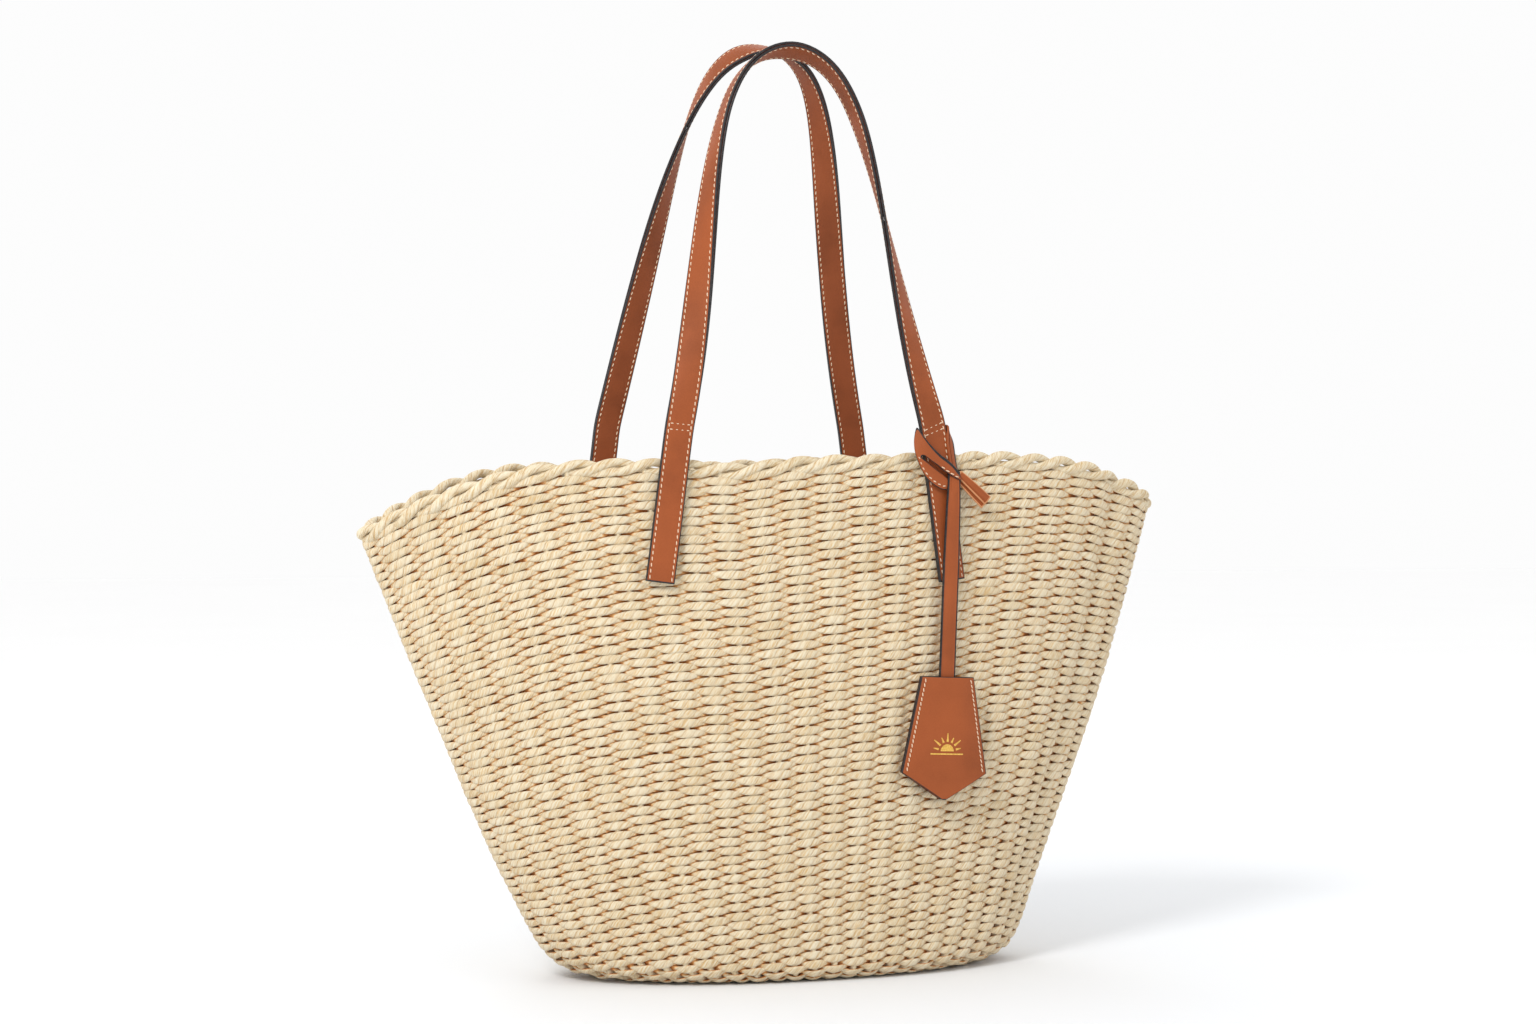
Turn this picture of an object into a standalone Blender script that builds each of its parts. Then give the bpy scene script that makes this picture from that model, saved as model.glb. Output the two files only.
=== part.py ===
"""A woven straw beach bag with two leather handles and a hanging leather tag.

Metres, +Z up. The origin is the middle of the base, on the surface that the bag stands on. The bag is long
in X, and its front faces -Y.
"""

import math

import bmesh
import bpy
import numpy as np
from mathutils import Vector

# Straw body, outside sizes.
BASE_HALF_LENGTH = 0.160
BASE_HALF_DEPTH = 0.075
RIM_HALF_LENGTH = 0.2825
RIM_HALF_DEPTH = 0.078
SIDE_BULGE = 0.0058
WALL_BULGE = 0.006
RIM_HEIGHT_MIDDLE = 0.342
RIM_HEIGHT_ENDS = 0.306
RIM_DROP_POWER = 4.5
RIM_SWELL = (-0.60, 0.25, 0.0055)
RIM_DIP = (-0.18, 0.10, -0.0030)
LEAN = 0.040
END_TUCK = 0.018
END_TUCK_LEVEL = 0.13
END_TUCK_POWER = 3.5
SWAY = 0.0037
SWAY_HEIGHT = 0.200
LEFT_END_ROUNDNESS = 0.12
RIGHT_END_ROUNDNESS = 0.28
WALL_THICKNESS = 0.008
END_THICKNESS_FACTOR = 2.0
FOOT_RADIUS = 0.014
FOOT_WIDTH = 0.006
INNER_FOOT_HEIGHT = 0.012
BASE_THICKNESS = 0.007
BORDER_HEIGHT = 0.009
BORDER_EXTRA = 0.0006
GAP = 0.0004

# Handles.
STRAP_WIDTH = 0.0185
LEATHER = 0.0017
HANDLE_CENTRE_X = -0.015
SEAM_HALF_SPACING = 0.087
BACK_EXTRA_SPACING = 0.003
TAB_SPREAD = 0.0128
TAB_BOTTOM_HEIGHT = 0.261
TAB_TOP_HEIGHT = 0.360
TAB_STAND_OFF = 0.0012
HINGE_HEIGHT = 0.3625
STRAP_START_HEIGHT = 0.363
FRONT_FLANK = (0.0538, 0.4903)
BACK_FLANK = (0.0522, 0.5337)
FRONT_SHOULDER = 0.0618
BACK_SHOULDER = 0.0566
FRONT_APEX_HEIGHT = 0.6065
BACK_APEX_HEIGHT = 0.6202
FRONT_TIP = 0.014
BACK_TIP = -0.0574
FRONT_SIDEWAYS = -0.0087
BACK_SIDEWAYS = 0.0053
SEAM_TWIST = math.radians(6)
FRONT_TWIST_LENGTH = 0.205
FRONT_TWIST_POWER = 1.17
FRONT_APEX_TURN = math.radians(114)
FRONT_LAST_TURN_POWER = 10
BACK_APEX_TURN = math.radians(123)
BACK_TWIST_POWER = 2.03
BACK_TURN_SHIFT = 0.0177
PATCH_HEIGHT = 0.055
PATCH_THICKNESS = 0.0014

# Knotted strap and tag.
BAND_WIDTH = 0.0118
BAND_THICKNESS = 0.0018
LAYER_GAP = 0.0004
LOOP_MIDDLE_ACROSS = -0.001
LOOP_HALF_SPAN = 0.0135
LOOP_FRONT_HEIGHT = 0.3415
LOOP_BACK_HEIGHT = 0.3540
LOOP_SLOPE = 0.90
WRAP_CENTRE_ACROSS = 0.003
WRAP_CENTRE_HEIGHT = 0.3415
WRAP_RADIUS = 0.0195
WRAP_WIDTH = 0.0075
TAIL_START = (0.0152, 0.3315)
TAIL_RUN = 0.0185
TAIL_DROP = 0.0210
TAG_PLANE_EXTRA = 0.0012
TAG_STRAP_TOP = 0.3255
TAG_HINGE_HEIGHT = 0.3265
TAG_STRAP_BOTTOM = 0.162
TAG_HINGE_X = 0.0845
TAG_SLANT = math.radians(2.3)
TAG_TOP_HEIGHT = 0.198
TAG_SIDE_HEIGHT = 0.063
TAG_POINT_DEPTH = 0.0175
TAG_TOP_HALF_WIDTH = 0.0186
TAG_BOTTOM_HALF_WIDTH = 0.030
TAG_SWELL = 0.0034
SWELL_FALL_START = 0.045
SWELL_FALL = 0.55
TAG_LEATHER = 0.0016
STRAP_END_HALF_WIDTH = 0.0075
STRAP_END_HEIGHT = 0.026
STRAP_END_THICKNESS = 0.0030

STATIONS = 48
STRAP_STATIONS = 44
TAG_RIGHTWARD = Vector((math.cos(TAG_SLANT), 0, -math.sin(TAG_SLANT)))
FRONTWARD = Vector((0, -1, 0))


def clear_scene():
    for obj in list(bpy.data.objects):
        bpy.data.objects.remove(obj, do_unlink=True)


def material(name, colour, roughness):
    made = bpy.data.materials.get(name)
    if made is None:
        made = bpy.data.materials.new(name)
        made.use_nodes = True
        shader = made.node_tree.nodes["Principled BSDF"]
        shader.inputs["Base Color"].default_value = (*colour, 1.0)
        shader.inputs["Roughness"].default_value = roughness
        shader.inputs["Metallic"].default_value = 0.0
    return made


def straw():
    return material("straw", (0.83, 0.70, 0.45), 0.85)


def tan_leather():
    return material("tan_leather", (0.46, 0.16, 0.06), 0.45)


def lining_leather():
    return material("lining_leather", (0.36, 0.13, 0.05), 0.6)


def joint_empty(name, position):
    """An empty on a joint's axis, which the moving pieces are parented to."""
    empty = bpy.data.objects.new(name, None)
    empty.location = position
    empty.hide_render = True
    bpy.context.scene.collection.objects.link(empty)
    return empty


def loft(name, sections, finish, closed=False, parent=None):
    """One solid through sections with equal numbers of points, all turning the same way.

    A closed loft joins its last section to its first. An open one has a flat cap at each end.
    """
    origin = Vector((0, 0, 0)) if parent is None else parent.location
    work = bmesh.new()
    rings = [[work.verts.new(Vector(point) - origin) for point in section] for section in sections]
    count = len(rings[0])
    pairs = list(zip(rings, rings[1:]))
    if closed:
        pairs.append((rings[-1], rings[0]))
    for first, second in pairs:
        for i in range(count):
            j = (i + 1) % count
            # The two long sides of a strip are split along the same diagonal, so that twisted strips nest.
            if 2 * i < count:
                work.faces.new((first[i], first[j], second[j]))
                work.faces.new((first[i], second[j], second[i]))
            else:
                work.faces.new((first[i], first[j], second[i]))
                work.faces.new((first[j], second[j], second[i]))
    if not closed:
        work.faces.new(list(reversed(rings[0])))
        work.faces.new(rings[-1])
    bmesh.ops.recalc_face_normals(work, faces=work.faces)
    mesh = bpy.data.meshes.new(name)
    work.to_mesh(mesh)
    work.free()
    if mesh.polygons and volume_of(mesh) < 0:
        mesh.flip_normals()
    mesh.shade_smooth()
    mesh.set_sharp_from_angle(angle=math.radians(40))
    mesh.materials.append(finish)
    obj = bpy.data.objects.new(name, mesh)
    bpy.context.scene.collection.objects.link(obj)
    obj.parent = parent
    return obj


def volume_of(mesh):
    """Six times the signed volume, positive when the faces point out."""
    mesh.calc_loop_triangles()
    total = 0.0
    for triangle in mesh.loop_triangles:
        a, b, c = (mesh.vertices[i].co for i in triangle.vertices)
        total += a.dot(b.cross(c))
    return total


def half_length(level):
    """Half the body's length at a level from 0, the ground, to 1, the rim. The ends tuck in at the foot."""
    spread = BASE_HALF_LENGTH + (RIM_HALF_LENGTH - BASE_HALF_LENGTH) * level
    tucked = END_TUCK * max(0.0, 1 - level / END_TUCK_LEVEL) ** END_TUCK_POWER
    return spread + SIDE_BULGE * math.sin(math.pi * level) - tucked


def half_depth(level):
    spread = BASE_HALF_DEPTH + (RIM_HALF_DEPTH - BASE_HALF_DEPTH) * level
    return spread + WALL_BULGE * math.sin(math.pi * level)


def depth_share(across, level):
    """How much of the half depth the plan has at a share of the half length: an oval at the base, and
    walls that draw together to narrow ends at the rim. The right end stays rounder than the left."""
    q = min(abs(across), 1.0)
    oval = math.sqrt(max(0.0, 1 - q**2.2))
    end = RIGHT_END_ROUNDNESS if across > 0 else LEFT_END_ROUNDNESS
    drawn = (1 - end) * (1 - q**2.6) + end * math.sqrt(max(0.0, 1 - q**8))
    return (1 - level) * oval + level * drawn


def rim_height(across):
    """The rim's height at a share of the half length. The swell and the dip are each a place, a spread and
    a rise, so that the rim is a little uneven, as hand weaving is."""
    q = min(abs(across), 1.0)
    height = RIM_HEIGHT_ENDS + (RIM_HEIGHT_MIDDLE - RIM_HEIGHT_ENDS) * (1 - q**RIM_DROP_POWER)
    for place, spread, rise in (RIM_SWELL, RIM_DIP):
        height += rise * math.exp(-(((across - place) / spread) ** 2))
    return height


def lean(x, y, z, level):
    """The whole body leans a little towards its left end and sways that way low down. The base stays
    flat."""
    share = min(1.0, z / SWAY_HEIGHT)
    sway = SWAY * share * (1 - share) ** 2 * 27 / 4
    return (x - LEAN * z - sway, y, z + LEAN * x * level)


def foot_inset(z):
    """How far the foot's rounding is inside the wall above it, at a height over the ground."""
    below = max(0.0, FOOT_RADIUS - z)
    return FOOT_RADIUS - math.sqrt(max(0.0, FOOT_RADIUS**2 - below**2))


def across_at(around):
    """The share of the half length at an angle round the plan, from -1 to 1."""
    return math.copysign(abs(math.cos(around)) ** (2 / 2.2), math.cos(around))


def body_point(around, level, height=None, inset=0.0):
    """A point of the body at an angle round the plan and a level from 0, the ground, to 1, the rim."""
    across = across_at(around)
    z = rim_height(across) * level if height is None else height
    end_inset = inset * (1 + (END_THICKNESS_FACTOR - 1) * level)
    x = across * (half_length(level) - end_inset)
    side = math.copysign(1.0, math.sin(around)) if abs(math.sin(around)) > 1e-9 else 0.0
    y = side * depth_share(across, level) * (half_depth(level) - inset)
    return lean(x, y, z, level)


def even_angles(count):
    """Angles that share the plan's outline at mid height into equal lengths."""
    fine = [2 * math.pi * i / 1440 for i in range(1441)]
    points = np.array([body_point(a, 0.6) for a in fine])
    lengths = np.concatenate([[0], np.cumsum(np.linalg.norm(np.diff(points, axis=0), axis=1))])
    return [float(np.interp(lengths[-1] * i / count, lengths, fine)) for i in range(count)]


def wall_section(around):
    """The wall's outline at one angle: out along the foot, up the outside, over and down the inside."""
    height_here = rim_height(across_at(around))
    foot_heights = [FOOT_RADIUS * (1 - math.cos(math.radians(a))) for a in (0, 30, 60, 90)]
    border_level = 1 - BORDER_HEIGHT / RIM_HEIGHT_MIDDLE
    upper = [0.14, 0.28, 0.42, 0.56, 0.70, 0.82, 0.92, border_level]
    points = [body_point(around, 0, 0, FOOT_RADIUS + FOOT_WIDTH)]
    points += [body_point(around, z / height_here, None, foot_inset(z)) for z in foot_heights]
    points += [body_point(around, level) for level in upper]
    points += [body_point(around, level, None, WALL_THICKNESS) for level in reversed(upper)]
    points.append(body_point(around, INNER_FOOT_HEIGHT / height_here, INNER_FOOT_HEIGHT, FOOT_RADIUS))
    points.append(body_point(around, 0, BASE_THICKNESS, FOOT_RADIUS + FOOT_WIDTH))
    return points


def woven_wall(angles):
    return loft("woven_wall", [wall_section(a) for a in angles], straw(), closed=True)


def base_mat(angles):
    inset = FOOT_RADIUS + FOOT_WIDTH + GAP
    under = [body_point(a, 0, 0, inset) for a in angles]
    over = [body_point(a, 0, BASE_THICKNESS, inset) for a in angles]
    return loft("base_mat", [under, over], straw())


def border_section(around):
    """The border's round-shouldered outline, just above the wall's top."""
    low = 1 - (BORDER_HEIGHT - 2 * GAP) / RIM_HEIGHT_MIDDLE
    middle = 1 - 0.5 * BORDER_HEIGHT / RIM_HEIGHT_MIDDLE
    shoulder = 1 - 0.15 * BORDER_HEIGHT / RIM_HEIGHT_MIDDLE
    inner = WALL_THICKNESS + BORDER_EXTRA
    outline = [(low, 0.0), (middle, -BORDER_EXTRA), (shoulder, 0.0012), (1.0, 0.0030)]
    outline += [(1.0, inner - 0.0036), (shoulder, inner - 0.0018), (middle, inner), (low, WALL_THICKNESS)]
    return [body_point(around, level, None, inset) for level, inset in outline]


def rim_border(angles):
    return loft("rim_border", [border_section(a) for a in angles], straw(), closed=True)


def wall_depth_at(x, z):
    """The outside half depth of the body where it passes a place in X and Z."""
    level = min(1.0, z / RIM_HEIGHT_MIDDLE)
    for _ in range(4):
        upright_z = z - LEAN * x * level
        across = (x + LEAN * upright_z) / half_length(min(1.0, level))
        level = min(1.0, upright_z / rim_height(across))
    return depth_share(across, level) * half_depth(level)


def strip_section(centre, width_way, out_way, width, low, high):
    """A flat strip's outline with small chamfers: width across, and from low to high along out_way."""
    half = width / 2
    chamfer = min(0.0004, (high - low) / 4)
    outline = [
        (-half + chamfer, low),
        (half - chamfer, low),
        (half, low + chamfer),
        (half, high - chamfer),
        (half - chamfer, high),
        (-half + chamfer, high),
        (-half, high - chamfer),
        (-half, low + chamfer),
    ]
    return [centre + width_way * across + out_way * out for across, out in outline]


def seam_half_spacing(face):
    """Half the distance between a handle's seams. The back handle's legs stand a little wider."""
    return SEAM_HALF_SPACING + (BACK_EXTRA_SPACING if face > 0 else 0.0)


def tab_frames(side, face, bottom, top, count=7):
    """Centre, width direction and outward direction up a tab. side is -1 left or 1 right, and face is
    -1 front or 1 back."""
    frames = []
    for i in range(count):
        z = bottom + (top - bottom) * i / (count - 1)
        share = (z - TAB_BOTTOM_HEIGHT) / (TAB_TOP_HEIGHT - TAB_BOTTOM_HEIGHT)
        half = seam_half_spacing(face) + TAB_SPREAD * (1 - share)
        x = HANDLE_CENTRE_X + side * half
        probe = min(z, RIM_HEIGHT_MIDDLE - 0.004)
        left = wall_depth_at(x - STRAP_WIDTH / 2, probe)
        right = wall_depth_at(x + STRAP_WIDTH / 2, probe)
        y = face * (max((left + right) / 2, wall_depth_at(x, probe)) + TAB_STAND_OFF)
        width_way = Vector((STRAP_WIDTH, face * (right - left), 0)).normalized()
        rise = Vector((-side * TAB_SPREAD, 0, TAB_TOP_HEIGHT - TAB_BOTTOM_HEIGHT))
        rise.normalize()
        out_way = width_way.cross(rise).normalized()
        if out_way.y * face < 0:
            out_way = -out_way
        width_way = rise.cross(out_way).normalized()
        frames.append((Vector((x, y, z)), width_way, out_way))
    return frames


def tab(name, side, face):
    frames = tab_frames(side, face, TAB_BOTTOM_HEIGHT, TAB_TOP_HEIGHT)
    thickness = 2 * LEATHER + GAP
    sections = [strip_section(c, w, n, STRAP_WIDTH, 0, thickness) for c, w, n in frames]
    return loft(name, sections, tan_leather())


def backing_patch(name, side, face):
    """A leather patch inside the wall, level with the lower part of its tab."""
    top = TAB_BOTTOM_HEIGHT + PATCH_HEIGHT
    frames = tab_frames(side, face, TAB_BOTTOM_HEIGHT, top, 5)
    inside = -(TAB_STAND_OFF + WALL_THICKNESS + 0.0012)
    sections = [strip_section(c, w, n, STRAP_WIDTH, inside - PATCH_THICKNESS, inside) for c, w, n in frames]
    return loft(name, sections, lining_leather())


def bezier(points, t):
    a, b, c, d = points
    s = 1 - t
    return a * s**3 + b * 3 * s * s * t + c * 3 * s * t * t + d * t**3


def handle_path(face):
    """The middle line of a handle from its left seam over the arch to its right seam, in even steps."""
    apex = FRONT_APEX_HEIGHT if face < 0 else BACK_APEX_HEIGHT
    flank = FRONT_FLANK if face < 0 else BACK_FLANK
    shoulder = FRONT_SHOULDER if face < 0 else BACK_SHOULDER
    tip = FRONT_TIP if face < 0 else BACK_TIP
    sideways = FRONT_SIDEWAYS if face < 0 else BACK_SIDEWAYS
    seam = tab_frames(1, face, TAB_TOP_HEIGHT, TAB_TOP_HEIGHT + 0.001, 2)[0]
    middle = seam[0] + seam[2] * (LEATHER + GAP / 2)
    corners = [
        Vector((seam_half_spacing(face), 0, STRAP_START_HEIGHT)),
        Vector((flank[0], 0, flank[1])),
        Vector((shoulder, 0, apex)),
        Vector((0, 0, apex)),
    ]
    half = [bezier(corners, i / 200) for i in range(201)]
    arch = [Vector((-p.x, 0, p.z)) for p in half] + list(reversed(half[:-1]))
    placed = []
    for p in arch:
        rise = (p.z - STRAP_START_HEIGHT) / (apex - STRAP_START_HEIGHT)
        x = HANDLE_CENTRE_X + p.x + sideways * math.sin(math.pi / 2 * rise)
        placed.append((x, middle.y + tip * rise**2, p.z))
    placed = np.array(placed)
    lengths = np.concatenate([[0], np.cumsum(np.linalg.norm(np.diff(placed, axis=0), axis=1))])
    even = np.linspace(0, lengths[-1], STRAP_STATIONS)
    path = [Vector([float(np.interp(s, lengths, placed[:, k])) for k in range(3)]) for s in even]
    return path, even, float(lengths[-1])


def strap_turn(face, distance, length):
    """How far a handle has turned about its own line, from lying flat against the wall at its seams to a
    little over a quarter turn at the top. The back handle turns later, and highest left of its middle."""
    if face < 0:
        from_seam = min(distance, length - distance)
        untwisted = max(0.0, 1 - from_seam / FRONT_TWIST_LENGTH) ** FRONT_TWIST_POWER
        last = (2 * from_seam / length) ** FRONT_LAST_TURN_POWER
        return math.pi / 2 - (math.pi / 2 - SEAM_TWIST) * untwisted + (FRONT_APEX_TURN - math.pi / 2) * last
    top = length / 2 - BACK_TURN_SHIFT
    share = distance / top if distance < top else (length - distance) / (length - top)
    return SEAM_TWIST + (BACK_APEX_TURN - SEAM_TWIST) * share**BACK_TWIST_POWER


def strap_frames(face):
    """Centre, width direction and outward direction along a handle."""
    path, distances, length = handle_path(face)
    frames = []
    for i, centre in enumerate(path):
        along = (path[min(i + 1, len(path) - 1)] - path[max(i - 1, 0)]).normalized()
        outward = Vector((0, face, 0))
        outward = (outward - along * outward.dot(along)).normalized()
        over = along.cross(outward) * face
        angle = strap_turn(face, float(distances[i]), length)
        normal = (outward * math.cos(angle) + over * math.sin(angle)).normalized()
        frames.append((centre, normal.cross(along).normalized(), normal))
    return frames


def handle(name, face, parent):
    frames = strap_frames(face)
    outer = [strip_section(c, w, n, STRAP_WIDTH, GAP / 2, GAP / 2 + LEATHER) for c, w, n in frames]
    inner = [strip_section(c, w, n, STRAP_WIDTH, -GAP / 2 - LEATHER, -GAP / 2) for c, w, n in frames]
    loft(name + "_outer_strap", outer, tan_leather(), parent=parent)
    loft(name + "_lining", inner, lining_leather(), parent=parent)


def leg_place(across, z, out):
    """A place on the front right handle leg: across from its middle line at a height, and out from the
    middle of its thickness. Also the leg's width and outward directions there."""
    centre, width_way, out_way = tab_frames(1, -1, z, z + 0.001, 2)[0]
    place = centre + width_way * across + out_way * (LEATHER + GAP / 2 + out)
    return place, width_way, out_way


def layer(number):
    """Distance from the middle of the tab to the middle of a band lying that many layers over it."""
    return LEATHER + GAP / 2 + LAYER_GAP + BAND_THICKNESS / 2 + number * (BAND_THICKNESS + LAYER_GAP)


def band_section(place, edge, out_way, width, thickness):
    return strip_section(place, edge, out_way, width, -thickness / 2, thickness / 2)


def signed_power(value, power):
    return math.copysign(abs(value) ** power, value)


def knot_loop():
    """A closed band round the handle leg. It runs level behind the leg, above the rim, and slopes down to
    the right across the front, over the other layers."""
    up = Vector((0, 0, 1))
    sections = []
    steps = 28
    for i in range(steps):
        angle = 2 * math.pi * i / steps
        front = (1 + math.sin(angle)) / 2
        depth = layer(2) + TAG_PLANE_EXTRA if math.sin(angle) > 0 else layer(0) + 0.0006
        swing = signed_power(math.cos(angle), 0.8) * LOOP_HALF_SPAN
        out = signed_power(math.sin(angle), 0.6) * depth
        z = front * (LOOP_FRONT_HEIGHT - LOOP_SLOPE * swing) + (1 - front) * LOOP_BACK_HEIGHT
        place, width_way, out_way = leg_place(LOOP_MIDDLE_ACROSS + swing, z, out)
        radial = (width_way * math.cos(angle) * 0.45 + out_way * math.sin(angle)).normalized()
        edge = (up - radial * up.dot(radial)).normalized()
        edge = (edge + width_way * 0.6 * front * abs(math.sin(angle))).normalized()
        width = BAND_WIDTH * (0.78 + 0.16 * front)
        sections.append(band_section(place, edge, radial, width, BAND_THICKNESS))
    return loft("knot_loop", sections, tan_leather(), closed=True)


def knot_wrap():
    """The lower turn of the knot: a crescent on the leg's face, from its left edge down to the right."""
    sections = []
    steps = 9
    for i in range(steps):
        angle = math.radians(183 + 97 * i / (steps - 1))
        across = WRAP_CENTRE_ACROSS + WRAP_RADIUS * math.cos(angle)
        z = WRAP_CENTRE_HEIGHT + WRAP_RADIUS * math.sin(angle)
        place, width_way, out_way = leg_place(across, z, layer(0) + LAYER_GAP)
        edge = (width_way * math.cos(angle) + Vector((0, 0, 1)) * math.sin(angle)).normalized()
        sections.append(band_section(place, edge, out_way, WRAP_WIDTH, BAND_THICKNESS))
    return loft("knot_wrap", sections, tan_leather())


def knot_tail():
    """The short cut end of the strap, doubled, which sticks out of the loop down to the right."""
    start, width_way, out_way = leg_place(*TAIL_START, layer(1))
    finish = start + width_way * TAIL_RUN + out_way * 0.0015 - Vector((0, 0, TAIL_DROP))
    along = (finish - start).normalized()
    edge = out_way.cross(along).normalized()
    sections = []
    for i in range(5):
        t = i / 4
        place = start.lerp(finish, t) + out_way * 0.0012 * math.sin(math.pi * t)
        sections.append(band_section(place, edge, out_way, 0.0062 + 0.0022 * t, 0.0030))
    return loft("knot_tail", sections, tan_leather())


def tag_plane():
    """The Y of the tag strap's middle."""
    return leg_place(0, TAG_STRAP_TOP, layer(1) + TAG_PLANE_EXTRA)[0].y


def hung(across, z, out=0.0):
    """A place of the strap or the tag, which hang in one plane, a little aslant from their hinge. z is its
    height before the slant."""
    drop = TAG_HINGE_HEIGHT - z
    x = TAG_HINGE_X + across * math.cos(TAG_SLANT) - drop * math.sin(TAG_SLANT)
    height = TAG_HINGE_HEIGHT - drop * math.cos(TAG_SLANT) - across * math.sin(TAG_SLANT)
    return Vector((x, tag_plane() + out, height))


def tag_strap(parent):
    sections = []
    steps = 12
    for i in range(steps):
        z = TAG_STRAP_TOP + (TAG_STRAP_BOTTOM - TAG_STRAP_TOP) * i / (steps - 1)
        sections.append(band_section(hung(0, z), TAG_RIGHTWARD, FRONTWARD, BAND_WIDTH, BAND_THICKNESS))
    return loft("tag_strap", sections, tan_leather(), parent=parent)


def tag_strap_end(parent):
    """The strap's doubled end, which hangs just below the strap inside the sleeve."""
    top = TAG_STRAP_BOTTOM - GAP
    sections = []
    for i in range(4):
        z = top - STRAP_END_HEIGHT * i / 3
        width = 2 * STRAP_END_HALF_WIDTH
        sections.append(band_section(hung(0, z), TAG_RIGHTWARD, FRONTWARD, width, STRAP_END_THICKNESS))
    return loft("tag_strap_end", sections, lining_leather(), parent=parent)


def tag_half_width(depth):
    """Half the sleeve's width at a distance below its top: widening sides, then a point."""
    if depth <= TAG_SIDE_HEIGHT:
        return TAG_TOP_HALF_WIDTH + (TAG_BOTTOM_HALF_WIDTH - TAG_TOP_HALF_WIDTH) * depth / TAG_SIDE_HEIGHT
    share = (depth - TAG_SIDE_HEIGHT) / TAG_POINT_DEPTH
    return TAG_BOTTOM_HALF_WIDTH + (0.0015 - TAG_BOTTOM_HALF_WIDTH) * share


def tag_panel(name, face, parent):
    """One side of the sleeve. The two meet along their long edges and stand apart in the middle, where
    the strap passes between them."""
    depths = [0, 0.016, 0.032, 0.048, 0.058, TAG_SIDE_HEIGHT, 0.069, 0.075, TAG_SIDE_HEIGHT + TAG_POINT_DEPTH]
    shares = [-1, -0.72, -0.4, 0, 0.4, 0.72, 1]
    falling_length = TAG_SIDE_HEIGHT + TAG_POINT_DEPTH - SWELL_FALL_START
    sections = []
    for depth in depths:
        half = tag_half_width(depth)
        z = TAG_TOP_HEIGHT - depth
        full = tag_half_width(min(depth, TAG_SIDE_HEIGHT))
        towards_point = max(0.0, depth - SWELL_FALL_START) / falling_length
        swell = TAG_SWELL * (1 - SWELL_FALL * towards_point)
        inner = [(share * half, GAP / 2 + swell * (1 - abs(share * half / full) ** 2.2)) for share in shares]
        loop = [hung(x, z, face * out) for x, out in inner]
        loop += [hung(x, z, face * (out + TAG_LEATHER)) for x, out in reversed(inner)]
        sections.append(loop)
    return loft(name, sections, tan_leather(), parent=parent)


def build():
    clear_scene()
    angles = even_angles(STATIONS)
    base_mat(angles)
    woven_wall(angles)
    rim_border(angles)
    for face, side_name in ((-1, "front"), (1, "back")):
        for side, end_name in ((-1, "left"), (1, "right")):
            tab(f"{side_name}_{end_name}_tab", side, face)
            backing_patch(f"{side_name}_{end_name}_backing", side, face)
        # The leather folds about its outer face, so that a handle can hang down outside the wall.
        seam_y = handle_path(face)[0][0].y + face * (LEATHER + GAP / 2)
        hinge = joint_empty(f"{side_name}_handle_hinge", (HANDLE_CENTRE_X, seam_y, HINGE_HEIGHT))
        handle(f"{side_name}_handle", face, hinge)
    knot_loop()
    knot_wrap()
    knot_tail()
    strap_hinge = joint_empty("tag_strap_hinge", (TAG_HINGE_X, tag_plane(), TAG_HINGE_HEIGHT))
    tag_strap(strap_hinge)
    tag_strap_end(strap_hinge)
    sleeve = joint_empty("tag_sleeve_guide", hung(0, TAG_TOP_HEIGHT))
    tag_panel("tag_front_panel", -1, sleeve)
    tag_panel("tag_back_panel", 1, sleeve)


build()
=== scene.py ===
"""Looks of the woven straw beach bag: twisted straw over stakes, stitched leather straps, knot and tag.

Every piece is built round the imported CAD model, in metres, +Z up, with the bag's front facing -Y.
"""

import math

import bpy
import numpy as np
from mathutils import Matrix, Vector


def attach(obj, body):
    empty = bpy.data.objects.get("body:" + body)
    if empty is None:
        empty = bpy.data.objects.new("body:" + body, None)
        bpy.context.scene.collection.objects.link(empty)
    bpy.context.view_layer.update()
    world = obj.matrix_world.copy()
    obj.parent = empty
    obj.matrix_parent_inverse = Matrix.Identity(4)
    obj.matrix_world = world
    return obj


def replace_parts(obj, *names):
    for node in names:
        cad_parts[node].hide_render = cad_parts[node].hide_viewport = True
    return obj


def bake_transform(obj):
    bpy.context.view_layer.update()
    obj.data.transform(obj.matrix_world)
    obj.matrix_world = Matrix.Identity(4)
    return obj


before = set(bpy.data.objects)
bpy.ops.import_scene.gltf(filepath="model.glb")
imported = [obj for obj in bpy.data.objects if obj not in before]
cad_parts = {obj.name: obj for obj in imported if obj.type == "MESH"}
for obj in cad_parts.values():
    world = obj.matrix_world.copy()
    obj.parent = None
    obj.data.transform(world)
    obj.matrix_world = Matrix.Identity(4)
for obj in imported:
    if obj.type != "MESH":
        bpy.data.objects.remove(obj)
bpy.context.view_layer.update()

# The straw body's outside, as the CAD part has it.
BASE_HALF_LENGTH = 0.160
BASE_HALF_DEPTH = 0.075
RIM_HALF_LENGTH = 0.2825
RIM_HALF_DEPTH = 0.078
SIDE_BULGE = 0.0058
WALL_BULGE = 0.006
RIM_HEIGHT_MIDDLE = 0.342
RIM_HEIGHT_ENDS = 0.306
RIM_DROP_POWER = 4.5
RIM_SWELL = (-0.60, 0.25, 0.0055)
RIM_DIP = (-0.18, 0.10, -0.0030)
LEAN = 0.040
END_TUCK = 0.018
END_TUCK_LEVEL = 0.13
END_TUCK_POWER = 3.5
SWAY = 0.0037
SWAY_HEIGHT = 0.200
LEFT_END_ROUNDNESS = 0.12
RIGHT_END_ROUNDNESS = 0.28
FOOT_RADIUS = 0.014
BASE_POWER = 2.2
RIM_POWER = 2.6
BLUNT_POWER = 8

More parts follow.
